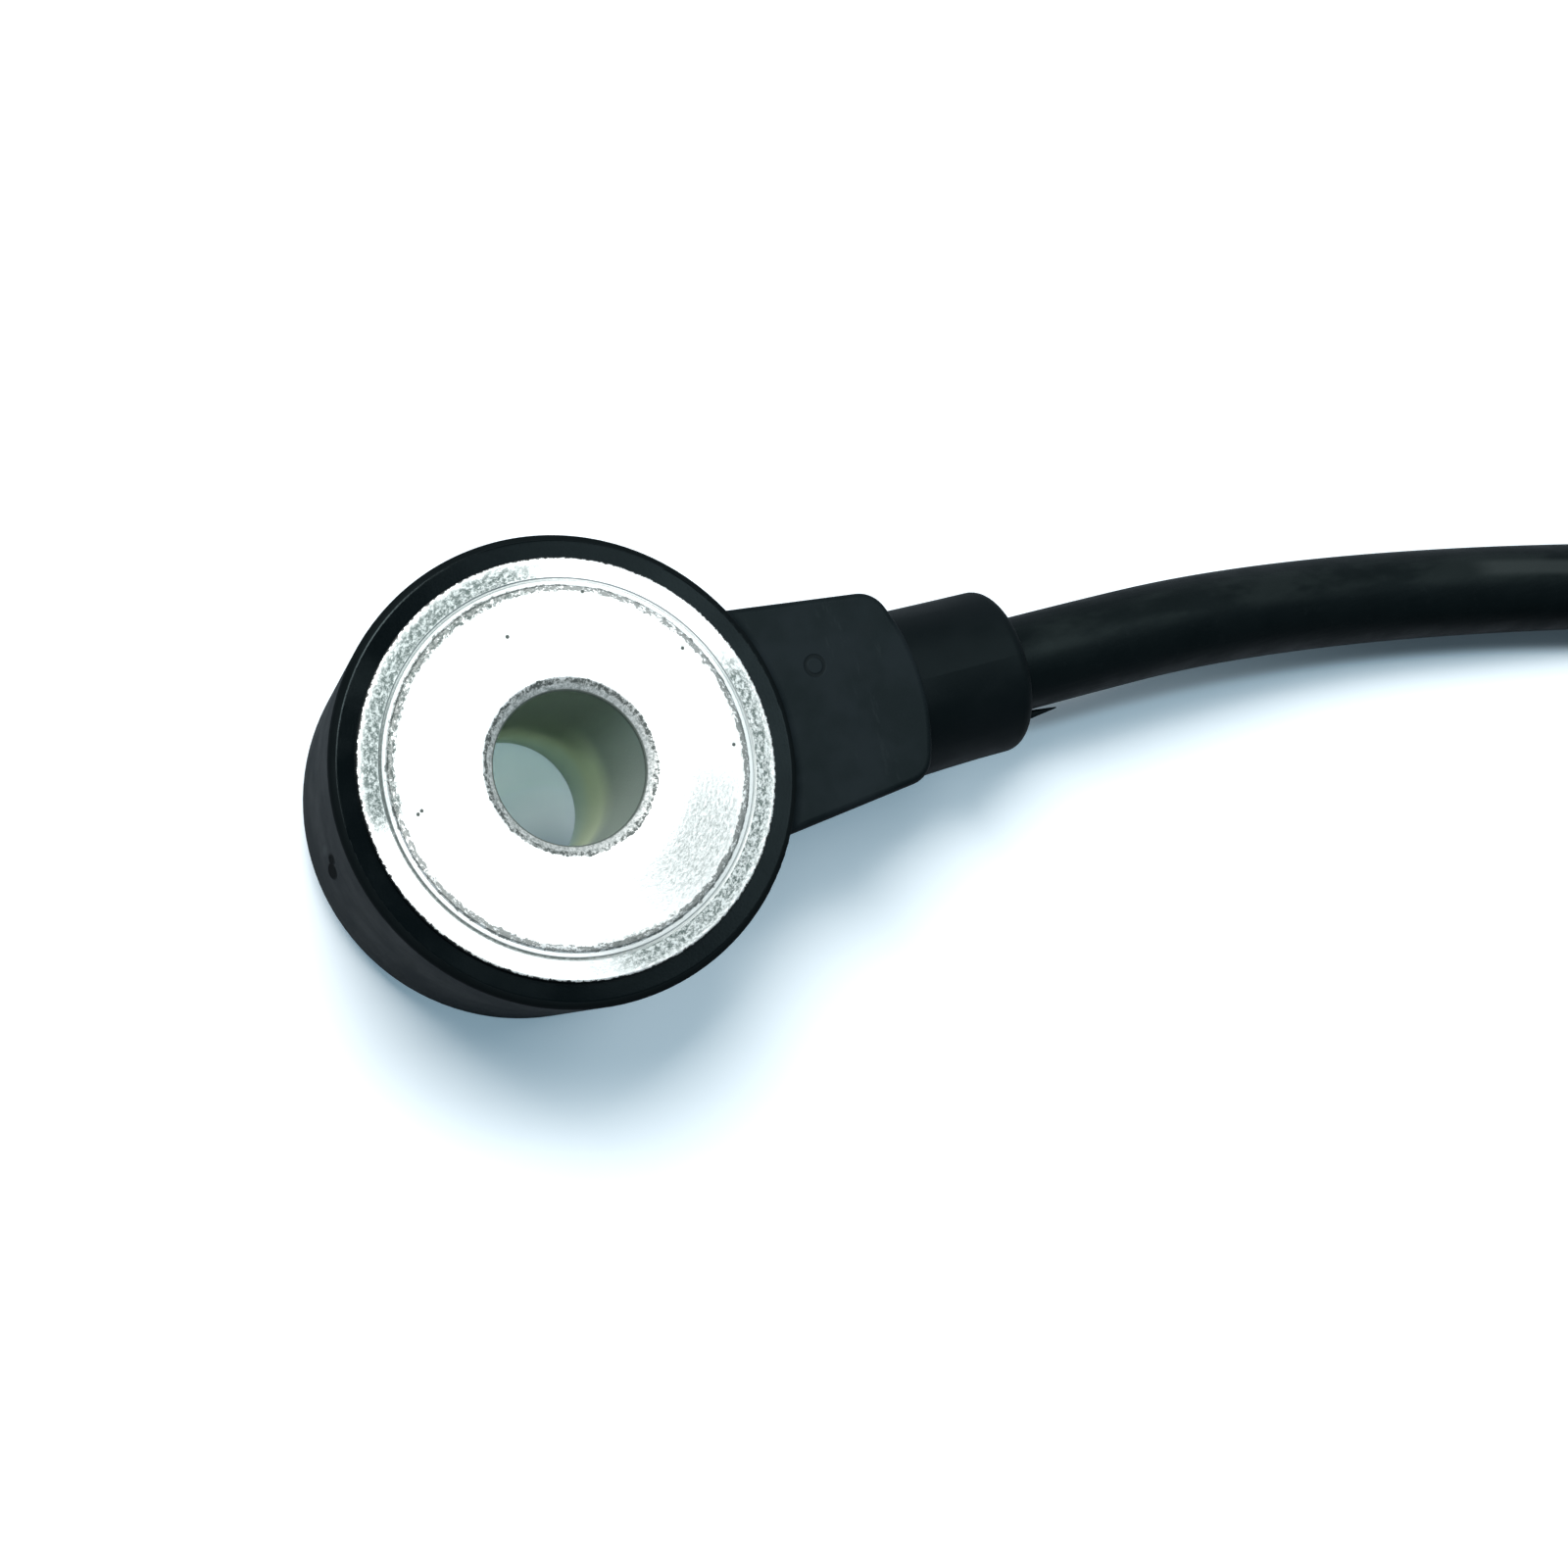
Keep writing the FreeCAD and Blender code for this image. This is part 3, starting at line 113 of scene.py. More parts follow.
class Finish:
    """One material, built node by node on the piece's own coordinates in millimetres."""

    def __init__(self, name):
        self.material = bpy.data.materials.new(name)
        self.material.use_nodes = True
        self.tree = self.material.node_tree
        self.tree.nodes.clear()
        self.output = self.node("OutputMaterial")
        self.shader = self.node("BsdfPrincipled")
        self.join(self.shader.outputs["BSDF"], self.output.inputs["Surface"])
        scale = self.vector_node("SCALE", self.node("TexCoord").outputs["Object"])
        scale.inputs["Scale"].default_value = 1 / MM
        self.place = scale.outputs[0]

    def node(self, kind):
        """A new node of one kind."""
        return self.tree.nodes.new("ShaderNode" + kind)

    def vector_node(self, operation, source):
        """A new Vector Math node, fed with its first vector."""
        node = self.node("VectorMath")
        node.operation = operation
        self.join(source, node.inputs[0])
        return node

    def join(self, source, target):
        """Links one socket to another."""
        self.tree.links.new(source, target)

    def feed(self, socket, value):
        """Gives a socket a link, a colour or a number."""
        if isinstance(value, bpy.types.NodeSocket):
            self.join(value, socket)
        elif isinstance(value, (tuple, Color)):
            socket.default_value = (*value, 1.0)
        else:
            socket.default_value = value

    def sums(self, operation, first, second=0.0, third=0.0):
        """One Math node."""
        node = self.node("Math")
        node.operation = operation
        for socket, value in zip(node.inputs, (first, second, third)):
            self.feed(socket, value)
        return node.outputs[0]

    def times(self, first, *others):
        """The product of two or more values."""
        for other in others:
            first = self.sums("MULTIPLY", first, other)
        return first

    def most(self, first, *others):
        """The largest of two or more values."""
        for other in others:
            first = self.sums("MAXIMUM", first, other)
        return first

    def share(self, value, factor, base):
        """A share of one value on top of a base."""
        return self.sums("MULTIPLY_ADD", value, factor, base)

    def axes(self):
        """The piece's own x, y and z."""
        node = self.node("SeparateXYZ")
        self.join(self.place, node.inputs[0])
        return node.outputs

    def stretched(self, scale, turn=0.0):
        """The piece's coordinates, turned about Z and scaled along each axis."""
        node = self.node("Mapping")
        self.join(self.place, node.inputs["Vector"])
        node.inputs["Scale"].default_value = scale
        node.inputs["Rotation"].default_value = (0, 0, turn)
        return node.outputs[0]

    def radius(self):
        """Distance from the bore's axis."""
        flat = self.vector_node("MULTIPLY", self.place)
        flat.inputs[1].default_value = (1, 1, 0)
        return self.vector_node("LENGTH", flat.outputs[0]).outputs["Value"]

    def beside_lead(self):
        """How far a spot lies to the side of the lead's first, gently bent stretch."""
        x, y = self.axes()[:2]
        beyond = self.most(self.sums("SUBTRACT", x, BEND_START), 0.0)
        return self.share(self.times(beyond, beyond), BEND_RATE, y)

    def turned(self, across, along):
        """Coordinates across the turning marks and along them, each with its own scale."""
        x, y = self.axes()[:2]
        node = self.node("CombineXYZ")
        self.join(self.times(self.radius(), across), node.inputs["X"])
        self.join(self.times(self.sums("ARCTAN2", y, x), 10 * along), node.inputs["Y"])
        return node.outputs[0]

    def distance(self, spot, vector=None):
        """Distance from one spot, in millimetres."""
        node = self.vector_node("DISTANCE", vector or self.place)
        node.inputs[1].default_value = spot
        return node.outputs["Value"]

    def noise(self, scale, detail=3.0, roughness=0.6, vector=None):
        """Cloudy noise, with scale in waves a millimetre."""
        node = self.node("TexNoise")
        self.join(vector or self.place, node.inputs["Vector"])
        node.inputs["Scale"].default_value = scale
        node.inputs["Detail"].default_value = detail
        node.inputs["Roughness"].default_value = roughness
        return node.outputs["Fac"]

    def step(self, value, low, high, bottom=0.0, top=1.0):
        """A soft step from bottom to top as the value goes from low to high."""
        node = self.node("MapRange")
        node.interpolation_type = "SMOOTHSTEP"
        ends = {"From Min": low, "From Max": high, "To Min": bottom, "To Max": top}
        for key, number in ends.items():
            node.inputs[key].default_value = number
        self.join(value, node.inputs["Value"])
        return node.outputs["Result"]

    def band(self, value, low, high, soft):
        """One inside a band, falling to nothing over the soft width outside it."""
        rise = self.step(value, low - soft, low)
        fall = self.step(value, high, high + soft, 1.0, 0.0)
        return self.times(rise, fall)

    def blend(self, amount, first, second):
        """The first colour, turning into the second by an amount."""
        node = self.node("Mix")
        node.data_type = "RGBA"
        self.feed(node.inputs[0], amount)
        self.feed(node.inputs[6], first)
        self.feed(node.inputs[7], second)
        return node.outputs[2]

    def relief(self, height, depth):
        """Bump, with its depth in millimetres."""
        node = self.node("Bump")
        node.inputs["Strength"].default_value = 1.0
        node.inputs["Distance"].default_value = depth * MM
        self.join(height, node.inputs["Height"])
        return node.outputs["Normal"]

    def set(self, **values):
        """Sets the shader's sockets; an underscore stands for a blank."""
        for key, value in values.items():
            self.feed(self.shader.inputs[key.replace("_", " ")], value)
        return self.material


def wear(piece, material):
    """Puts one material on a piece, whatever slots it had."""
    piece.data.materials.clear()
    piece.data.materials.append(material)


def node_piece(name):
    """A node of the loaded model."""
    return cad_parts[name]


def dress(material, *names):
    """Puts one material on the named nodes of the loaded model."""
    for name in names:
        wear(node_piece(name), material)


def clear_selection():
    """Deselects everything, because the loaded nodes come in selected."""
    bpy.ops.object.select_all(action="DESELECT")


def settle(name):
    """Names the new piece and moves its place into its mesh."""
    piece = bpy.context.object
    piece.name = name
    piece.data.name = name
    bpy.ops.object.transform_apply(location=True, rotation=True, scale=True)
    return piece


def lathe(name, profile, steps):
    """Draws a closed profile corner by corner and spins it round the upright axis."""
    spots = [Vector(spot) for spot in profile]
    clear_selection()
    bpy.ops.mesh.primitive_plane_add(size=MM, location=spots[0])
    piece = settle(name)
    bpy.ops.object.mode_set(mode="EDIT")
    bpy.ops.mesh.select_all(action="SELECT")
    bpy.ops.mesh.merge(type="CENTER")
    for start, stop in zip(spots, spots[1:] + spots[:1]):
        bpy.ops.mesh.extrude_region_move(TRANSFORM_OT_translate={"value": stop - start})
    bpy.ops.mesh.select_all(action="SELECT")
    bpy.ops.mesh.spin(steps=steps, angle=math.tau, center=(0, 0, 0), axis=(0, 0, 1))
    bpy.ops.mesh.select_all(action="SELECT")
    bpy.ops.mesh.remove_doubles(threshold=0.001 * MM)
    bpy.ops.mesh.normals_make_consistent(inside=False)
    bpy.ops.object.mode_set(mode="OBJECT")
    bpy.ops.object.shade_smooth_by_angle(angle=math.radians(28))
    return piece


# The lead's route in metres, from the collar to the coil and from the coil to the plug.
LEAD_ROUTE = [
    (0.024, 0.0, 0.0077),
    (0.0343, 0.0, 0.0077),
    (0.0432, -0.00005, 0.0068),
    (0.055, -0.00095, 0.0046),
    (0.0675, -0.0029, 0.0039),
    (0.0815, -0.0056, 0.00285),
    (0.0955, -0.0096, 0.00285),
    (0.109, -0.0139, 0.0035),
]
TAIL_ROUTE = [
    (0.08997, -0.01504, 0.0092),
    (0.10089, -0.01006, 0.0092),
    (0.1104, -0.0075, 0.0086),
    (0.1238, -0.0075, 0.0086),
]
# Fineness of the sheath, along it and round it.
LEAD_STEPS = 12
LEAD_SIDES = 10


def coil_points(radius, steps):
    """Points of the coil: a lower turn, a short climb beside the way out, and an upper turn."""
    end = Vector(LEAD_ROUTE[-1])
    heading = (end - Vector(LEAD_ROUTE[-2])).xy.normalized()
    middle = Vector((end.x + radius * heading.y, end.y - radius * heading.x))
    start = (end.xy - middle).normalized()
    leave = (Vector(TAIL_ROUTE[0]).xy - middle).normalized()
    gap = start.angle(leave)
    whole = 2 * math.tau - gap
    low = LEAD_ROUTE[-1][2]
    high = TAIL_ROUTE[0][2]
    points = []
    for k in range(1, steps):
        turned = whole * k / steps
        climb = min(max((turned - (math.tau - gap)) / gap, 0), 1)
        height = low + (high - low) * (1 - math.cos(math.pi * climb)) / 2
        reach = radius / math.cos(whole / steps / 2)
        side = Matrix.Rotation(-turned, 2) @ start * reach
        points.append((middle.x + side.x, middle.y + side.y, height))
    return points


def bush_profile(sizes):
    """Half of the bush's section: distance from the bore's axis and height, in millimetres."""
    bore = sizes.bore_radius / MM
    barrel = sizes.barrel_radius / MM
    land = sizes.land_radius / MM
    rim = sizes.flange_radius / MM
    top = sizes.bush_height / MM
    back = top - sizes.flange_thickness / MM
    face = top - sizes.land_step / MM
    groove = face - 0.05
    # A point stands next to each bevel, so that its shading doesn't run on into the flat.
    return [
        (bore, 0.1),
        (bore + 0.1, 0.0),
        (barrel - 0.15, 0.0),
        (barrel, 0.15),
        (barrel, back),
        (rim, back),
        (rim, face - 0.1),
        (rim - 0.03, face - 0.03),
        (rim - 0.1, face),
        (rim - 0.16, face),
        (land + 0.42, face),
        (land + 0.35, groove),
        (land + 0.27, groove),
        (land + 0.2, face),
        (land + 0.02, face + 0.01),
        (land - 0.1, top - 0.03),
        (land - 0.28, top),
        (land - 0.34, top),
        (bore + 0.74, top),
        (bore + 0.68, top),
        (bore + 0.6, top - 0.02),
        (bore + 0.08, top - 0.36),
        (bore, top - 0.45),
    ]


class ZincFinish(Finish):
    """Bright zinc with dull grain that is partly a painted reflection, a painted shade line in the
    tool's groove, flecks, a rubbed patch and painted light and shade down the bore.
    """

    # Middles of the few single ticks on the land, and of its rubbed patch, from the bore's axis.
    LARGE_TICK = (-1.38, 7.57)
    SMALL_TICKS = ((-8.74, -0.38), (-8.5, -0.25), (9.11, -1.1), (3.36, 9.0), (7.9, 4.7))
    RUBBED_SPOT = (5.9, -5.7)
    # The grain is heaviest along this heading; its two lobes are partly real grain and partly a
    # painted reflection of the turned face.
    GRAIN_AND_REFLECTION_HEADING = (-0.777, 0.629)
    # A pale bloom, partly a painted reflection where it follows the grain's lobes.
    BLOOM = (0.39, 0.44, 0.435)
    MARK_AND_SHADE = (0.09, 0.105, 0.1)
    # Painted light and shade on the bore's wall, from a lit foot up to a shaded mouth.
    WALL_FOOT_LIGHT = (0.8, 0.97, 0.9)
    WALL_PAINTED_GLOW = (0.9, 1.0, 0.76)
    WALL_UPPER_SHADE = (0.46, 0.54, 0.5)
    WALL_FAR_SHADE = (0.12, 0.17, 0.12)
    WALL_MOUTH_SHADE = (0.08, 0.1, 0.09)

    def __init__(self, sizes, colours):
        super().__init__("zinc_plated_steel")
        self.colours = colours
        self.bore = sizes.bore_radius / MM
        self.land = sizes.land_radius / MM
        self.rim = sizes.flange_radius / MM
        self.top = sizes.bush_height / MM
        self.across = self.radius()
        self.x, self.y, self.z = self.axes()
        self.facing = self.step(self.z, self.top - 0.7, self.top - 0.5)
        self.fine = self.noise(5.5, 4.0, 0.75)
        self.ragged = self.share(self.noise(2.2, 3.0), 0.5, self.across)
        flecks = self.noise(4.4, 5.0, 0.8, self.turned(1.0, 0.5))
        self.flecks = self.share(self.noise(0.7, 2.0), 0.3, flecks)
        # Along (1.73, 1): from -2 on the side nearest to the camera to 2 on the far side.
        self.near = self.sums("DIVIDE", self.share(self.x, 1.73, self.y), self.across)
        # Two lobes of grain, partly real and partly a painted reflection of the turned face.
        self.grain_and_reflection = self.grain_and_reflection_weight()

    def grain_and_reflection_weight(self):
        """Where the grain lies thick: two lobes along one diameter, cleanest on the near side; the
        lobes are partly real grain and partly a painted reflection of the turned face.
        """
        heading_x, heading_y = self.GRAIN_AND_REFLECTION_HEADING
        along = self.share(self.y, heading_y, self.times(self.x, heading_x))
        along = self.sums("DIVIDE", along, self.across)
        weight = self.share(self.noise(0.16, 2.0), 0.5, self.times(along, along))
        weight = self.sums("SUBTRACT", weight, self.step(self.near, -1.85, -1.5, 0.35, 0.0))
        return self.step(weight, 0.35, 0.72, 0.02, 1.0)

    def grain(self):
        """Dull grain in two zones, outside the tool's line and inside the land's edge."""
        land = self.land
        outside = self.times(
            self.step(self.across, self.rim - 0.6, self.rim, 1.0, 0.4),
            self.step(self.across, land + 0.38, land + 0.46),
        )
        within = self.times(
            self.step(self.across, land - 0.06, land + 0.02, 1.0, 0.0),
            self.step(self.ragged, land - 0.42, land - 0.14),
            self.step(self.x, -3.0, 6.0, 1.0, 0.45),
        )
        # It is close on the side away from the lead and breaks up towards it.
        least = self.step(self.x, -9.0, 7.0, 0.14, 0.06)
        speckle = self.noise(4.4, 5.0, 0.85, self.turned(1.0, 0.7))
        speckle = self.step(speckle, 0.42, 0.59)
        speckle = self.share(self.sums("SUBTRACT", 1.0, least), speckle, least)
        return self.times(self.most(outside, within), self.grain_and_reflection, speckle)

    def groove_line_shade(self):
        """Painted shade: a fine dark line in the tool's groove round the land, plainest on the side
        nearest the camera.
        """
        line = self.band(self.across, self.land + 0.27, self.land + 0.32, 0.06)
        broken = self.step(self.fine, 0.25, 0.6, 0.6, 1.0)
        return self.times(line, broken, self.step(self.near, -1.7, -0.4, 1.0, 0.3))

    def edge_flecks(self):
        """Dark flecks along the ragged inner edge of the grain."""
        inside = self.band(self.ragged, self.land - 0.04, self.land + 0.16, 0.22)
        level = self.step(inside, 0.0, 1.0, 0.84, 0.58)
        dark = self.step(self.sums("SUBTRACT", self.flecks, level), 0.0, 0.06, 0.0, 0.75)
        return self.times(dark, self.step(inside, 0.02, 0.2))

    def rub(self):
        """The patch of the land that is rubbed in short arcs."""
        spot = self.distance((*self.RUBBED_SPOT, self.top))
        patch = self.step(spot, 1.2, 7.2, 1.0, 0.0)
        patch = self.times(patch, self.band(self.across, 7.2, 9.0, 1.5))
        arcs = self.noise(7.5, 5.0, 0.85, self.turned(1.0, 0.3))
        return self.times(self.step(arcs, 0.38, 0.64, 0.24, 0.72), patch)

    def mouth(self):
        """The chamfer at the bore."""
        chamfer = self.band(self.ragged, self.bore, self.bore + 0.8, 0.08)
        chamfer = self.times(chamfer, self.facing)
        return self.times(chamfer, self.step(self.fine, 0.3, 0.7, 0.05, 0.85))

    def mouth_edge(self):
        """Flecks on the chamfer's ragged outer edge."""
        edge = self.band(self.ragged, self.bore + 0.67, self.bore + 0.82, 0.1)
        return self.times(edge, self.step(self.flecks, 0.58, 0.68))

    def ticks(self):
        """A few single dark ticks on the land."""
        ticks = self.step(self.distance((*self.LARGE_TICK, self.top)), 0.08, 0.16, 1.0, 0.0)
        for spot in self.SMALL_TICKS:
            tick = self.step(self.distance((*spot, self.top)), 0.07, 0.15, 1.0, 0.0)
            ticks = self.most(ticks, tick)
        return ticks

    def bloom(self):
        """A pale bloom under the grain and over the tool's groove, thinner towards the lead; where it
        follows the grain's two lobes it is partly a painted reflection.
        """
        return self.times(
            self.step(self.across, self.rim - 0.5, self.rim - 0.1, 0.85, 0.3),
            self.step(self.x, -6.0, 4.0, 1.0, 0.62),
            self.step(self.across, self.land - 0.05, self.land + 0.05),
            self.grain_and_reflection,
            self.facing,
        )

    def wall(self):
        """The bore's wall in painted light and shade: a painted glow low down, painted shade on its
        far side and darker painted shade at the mouth.
        """
        height = self.share(self.noise(0.3, 1.0, 0.4), 3.0, self.z)
        tone = self.blend(self.step(height, 2.0, 5.5), self.WALL_FOOT_LIGHT, self.WALL_PAINTED_GLOW)
        tone = self.blend(self.step(height, 6.5, 11.0), tone, self.WALL_UPPER_SHADE)
        far = self.times(self.step(self.y, 0.5, 3.4, 0.0, 0.9), self.step(height, 3.0, 7.5))
        tone = self.blend(far, tone, self.WALL_FAR_SHADE)
        mouth = self.step(self.z, self.top - 0.75, self.top - 0.5)
        return self.blend(mouth, tone, self.WALL_MOUTH_SHADE)

    def lap(self):
        """The ragged hair's breadth of moulding that laps over the rim."""
        edge = self.share(self.noise(4.0, 4.0, 0.7), 0.45, self.across)
        return self.times(self.step(edge, self.rim + 0.12, self.rim + 0.17), self.facing)

    def build(self):
        """Joins the zones into one material."""
        # The line in the tool's groove is painted shade; it joins both the dulled zones and the
        # marks.
        line = self.groove_line_shade()
        scuffed = self.times(self.most(self.grain(), self.rub(), self.mouth(), line), self.facing)
        marks_and_shade = self.most(self.edge_flecks(), self.mouth_edge(), self.ticks())
        marks_and_shade = self.times(self.most(marks_and_shade, self.times(line, 0.75)), self.facing)
        inner = self.step(self.across, self.bore + 0.05, self.bore + 0.12, 1.0, 0.0)
        lap = self.lap()
        tone = self.blend(self.bloom(), self.colours.zinc, self.BLOOM)
        tone = self.blend(scuffed, tone, self.colours.zinc_dull)
        tone = self.blend(marks_and_shade, tone, self.MARK_AND_SHADE)
        # Inside the bore the tone is the wall's painted light and shade.
        tone = self.blend(inner, tone, self.wall())
        tone = self.blend(lap, tone, self.colours.moulding)
        # The chamfer and the foot of the land scatter more light than the faces.
        matt = self.step(self.across, self.bore + 0.55, self.bore + 0.7, 0.5, 0.0)
        matt = self.times(matt, self.facing)
        matt = self.share(self.band(self.across, self.land, self.land + 0.25, 0.05), 0.4, matt)
        matt = self.sums("ADD", matt, self.share(inner, 0.6, lap))
        wear_and_painted_light = self.most(scuffed, marks_and_shade)
        return self.set(
            Base_Color=tone,
            Metallic=self.sums("SUBTRACT", 1.0, matt),
            Roughness=self.step(wear_and_painted_light, 0.0, 1.0, 0.42, 0.62),
            Normal=self.relief(self.share(wear_and_painted_light, -0.6, self.noise(7.0, 3.0)), 0.012),
        )


class SENSOR_OT_bush(bpy.types.Operator):
    """Turns the zinc-plated contact bush and gives it its scuffed plating"""

    bl_idname = "sensor.bush"
    bl_label = "Contact bush"

    def execute(self, context):
        """Spins the section and puts the zinc on."""
        sizes = context.scene.sensor_sizes
        profile = [(x * MM, 0, z * MM) for x, z in bush_profile(sizes)]
        bush = lathe("bush_turned", profile, sizes.spin_steps)
        wear(bush, ZincFinish(sizes, context.scene.sensor_colours).build())
        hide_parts("contact_bush")
        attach(bush, "root")
        return {"FINISHED"}


# Places on the moulding, in millimetres: the height of the ring's front, the neck's end, the
# nick with its tail and graze, and the ejector pin's mark.
RING_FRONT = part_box("housing")[1][2] / MM
NECK_END = 22.0
NICK = (-12.44, -1.45, 2.83)
NICK_TAIL = (-12.54, -0.95, 3.2)
NICK_GRAZE = (-12.52, -0.25, 2.81)
PIN_MARK = (15.84, 2.21, 13.7)

# The feather of flash at the collar's end: radius at its root and its tip, length and middle.
FLASH_ROOT = 0.45 * MM
FLASH_TIP = 0.04 * MM
FLASH_LENGTH = 3.4 * MM
FLASH_MIDDLE = (31.0 * MM, -3.1 * MM, 7.2 * MM)


def moulding_finish(colours):
    """Satin black plastic with handling marks, a nick with painted shade in it, the ejector pin's
    mark, and a front and collar painted darker as painted shade.
    """
    rubbed_black = (0.0065, 0.0095, 0.0115)
    scuff_grey = (0.016, 0.021, 0.023)
    graze_grey = (0.05, 0.06, 0.06)
    nick_shade = (0.001, 0.001, 0.001)
    mark_black = (0.001, 0.0015, 0.0018)
    front_painted_shade = (0.001, 0.002, 0.0024)
    collar_painted_shade = (0.0006, 0.0016, 0.002)
    finish = Finish("black_moulding")
    x, _, z = finish.axes()
    cloud = finish.noise(0.22, 3.0)
    scuffs = finish.stretched((1.0, 0.25, 1.0), math.radians(30))
    scuffs = finish.step(finish.noise(0.9, 5.0, 0.75, scuffs), 0.6, 0.72)
    rubbed = finish.step(cloud, 0.38, 0.66)
    tone = finish.blend(rubbed, colours.moulding, rubbed_black)
    tone = finish.blend(finish.times(scuffs, 0.3), tone, scuff_grey)
    # A nick in the ring's side, taller than it is wide, with a tail and a pale graze beside it; the
    # nick and its tail are painted near black as painted shade in the pit.
    upright = finish.stretched((1.0, 1.0, 0.32))
    nick = finish.step(finish.distance(NICK, upright), 0.34, 0.5, 1.0, 0.0)
    tail = finish.step(finish.distance(NICK_TAIL, upright), 0.15, 0.4, 1.0, 0.0)
    graze = finish.step(finish.distance(NICK_GRAZE, upright), 0.1, 0.4, 0.6, 0.0)
    nick = finish.most(nick, tail)
    tone = finish.blend(graze, tone, graze_grey)
    tone = finish.blend(nick, tone, nick_shade)
    # The round mark of the ejector pin on the neck.
    pin_mark = finish.band(finish.distance(PIN_MARK), 0.5, 0.6, 0.1)
    tone = finish.blend(finish.times(pin_mark, 0.6), tone, mark_black)
    height = finish.share(finish.noise(9.0, 3.0, 0.7), 0.25, finish.times(nick, -6.0))
    height = finish.share(pin_mark, -1.6, height)
    # The ring's front is painted darker, as painted shade; it comes from a smoother face of the
    # mould, and its flat shines.
    front = finish.step(z, RING_FRONT - 0.65, RING_FRONT - 0.15)
    tone = finish.blend(front, tone, front_painted_shade)
    rough = finish.step(cloud, 0.3, 0.7, 0.5, 0.64)
    edge = finish.step(z, RING_FRONT - 0.55, RING_FRONT - 0.25, 0.0, 0.25)
    flat = finish.step(z, RING_FRONT - 0.012, RING_FRONT - 0.004, 0.0, -0.65)
    rough = finish.sums("ADD", flat, finish.sums("ADD", edge, rough))
    rough = finish.share(nick, 0.5, rough)
    # The collar is painted darker than the neck, as painted shade.
    collar = finish.step(x, NECK_END - 0.2, NECK_END + 0.4, 0.0, 0.8)
    tone = finish.blend(collar, tone, collar_painted_shade)
    return finish.set(
        Base_Color=tone,
        Roughness=rough,
        Specular_IOR_Level=0.13,
        Specular_Tint=BLACK_SHINE,
        Normal=finish.relief(height, 0.02),
    )


class SENSOR_OT_moulding(bpy.types.Operator):
    """Gives the black moulding its satin grain, its handling marks and its flash"""

    bl_idname = "sensor.moulding"
    bl_label = "Moulding"

    def execute(self, context):
        """Dresses the housing and adds the feather of flash at the collar's end."""
        black = moulding_finish(context.scene.sensor_colours)
        dress(black, "housing")
        clear_selection()
        bpy.ops.mesh.primitive_cone_add(
            vertices=12, radius1=FLASH_ROOT, radius2=FLASH_TIP, depth=FLASH_LENGTH
        )
        flash = settle("collar_flash")
        bpy.ops.object.mode_set(mode="EDIT")
        bpy.ops.mesh.select_all(action="SELECT")
        bpy.ops.mesh.subdivide(number_cuts=2)
        bpy.ops.transform.resize(value=(0.5, 1.0, 1.0))
        bpy.ops.transform.rotate(
            value=math.radians(-90), orient_axis="Y", center_override=(0, 0, 0)
        )
        bpy.ops.transform.translate(value=FLASH_MIDDLE)
        bpy.ops.mesh.normals_make_consistent(inside=False)
        bpy.ops.object.mode_set(mode="OBJECT")
        bpy.ops.object.shade_smooth_by_angle(angle=math.radians(50))
        wear(flash, black)
        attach(flash, "root")
        return {"FINISHED"}


def sheath_finish(colours):
    """Black sheath, cloudy and dusty, with a painted sheen along the top of the seen stretch."""
    cloud_black = (0.0022, 0.0042, 0.0048)
    dust_grey = (0.01, 0.014, 0.015)
    sheen_grey = (0.0085, 0.012, 0.012)
    end_sheen_grey = (0.026, 0.032, 0.032)
    finish = Finish("lead_sheath")
    cloud = finish.noise(0.35, 4.0, 0.65)
    dust = finish.step(finish.noise(1.6, 5.0, 0.8), 0.56, 0.75)
    drawn = finish.noise(1.4, 4.0, 0.7, finish.stretched((0.12, 1.0, 1.0)))
    tone = finish.blend(cloud, colours.sheath, cloud_black)
    tone = finish.blend(finish.times(dust, 0.35), tone, dust_grey)
    # The painted sheen runs along the top in patches, and is painted brightest at the stretch's end.
    x = finish.axes()[0]
    aside = finish.beside_lead()
    patches = finish.noise(0.5, 3.0, 0.6, finish.stretched((0.35, 1.0, 1.0)))
    painted_sheen = finish.times(
        finish.step(patches, 0.36, 0.62, 0.25, 1.0),
        finish.band(aside, 0.3, 1.5, 0.9),
        finish.band(x, 32.0, 72.0, 3.0),
    )
    tone = finish.blend(painted_sheen, tone, sheen_grey)
    wear_and_painted_light = finish.times(finish.band(aside, 0.6, 1.1, 0.5), finish.band(x, 66.5, 72.0, 2.5))
    tone = finish.blend(finish.times(wear_and_painted_light, 0.8), tone, end_sheen_grey)
    height = finish.share(finish.noise(8.0, 3.0), 0.3, drawn)
    return finish.set(
        Base_Color=tone,
        Roughness=finish.step(cloud, 0.3, 0.7, 0.42, 0.54),
        Specular_IOR_Level=0.1,
        Specular_Tint=BLACK_SHINE,
        Normal=finish.relief(height, 0.025),
    )


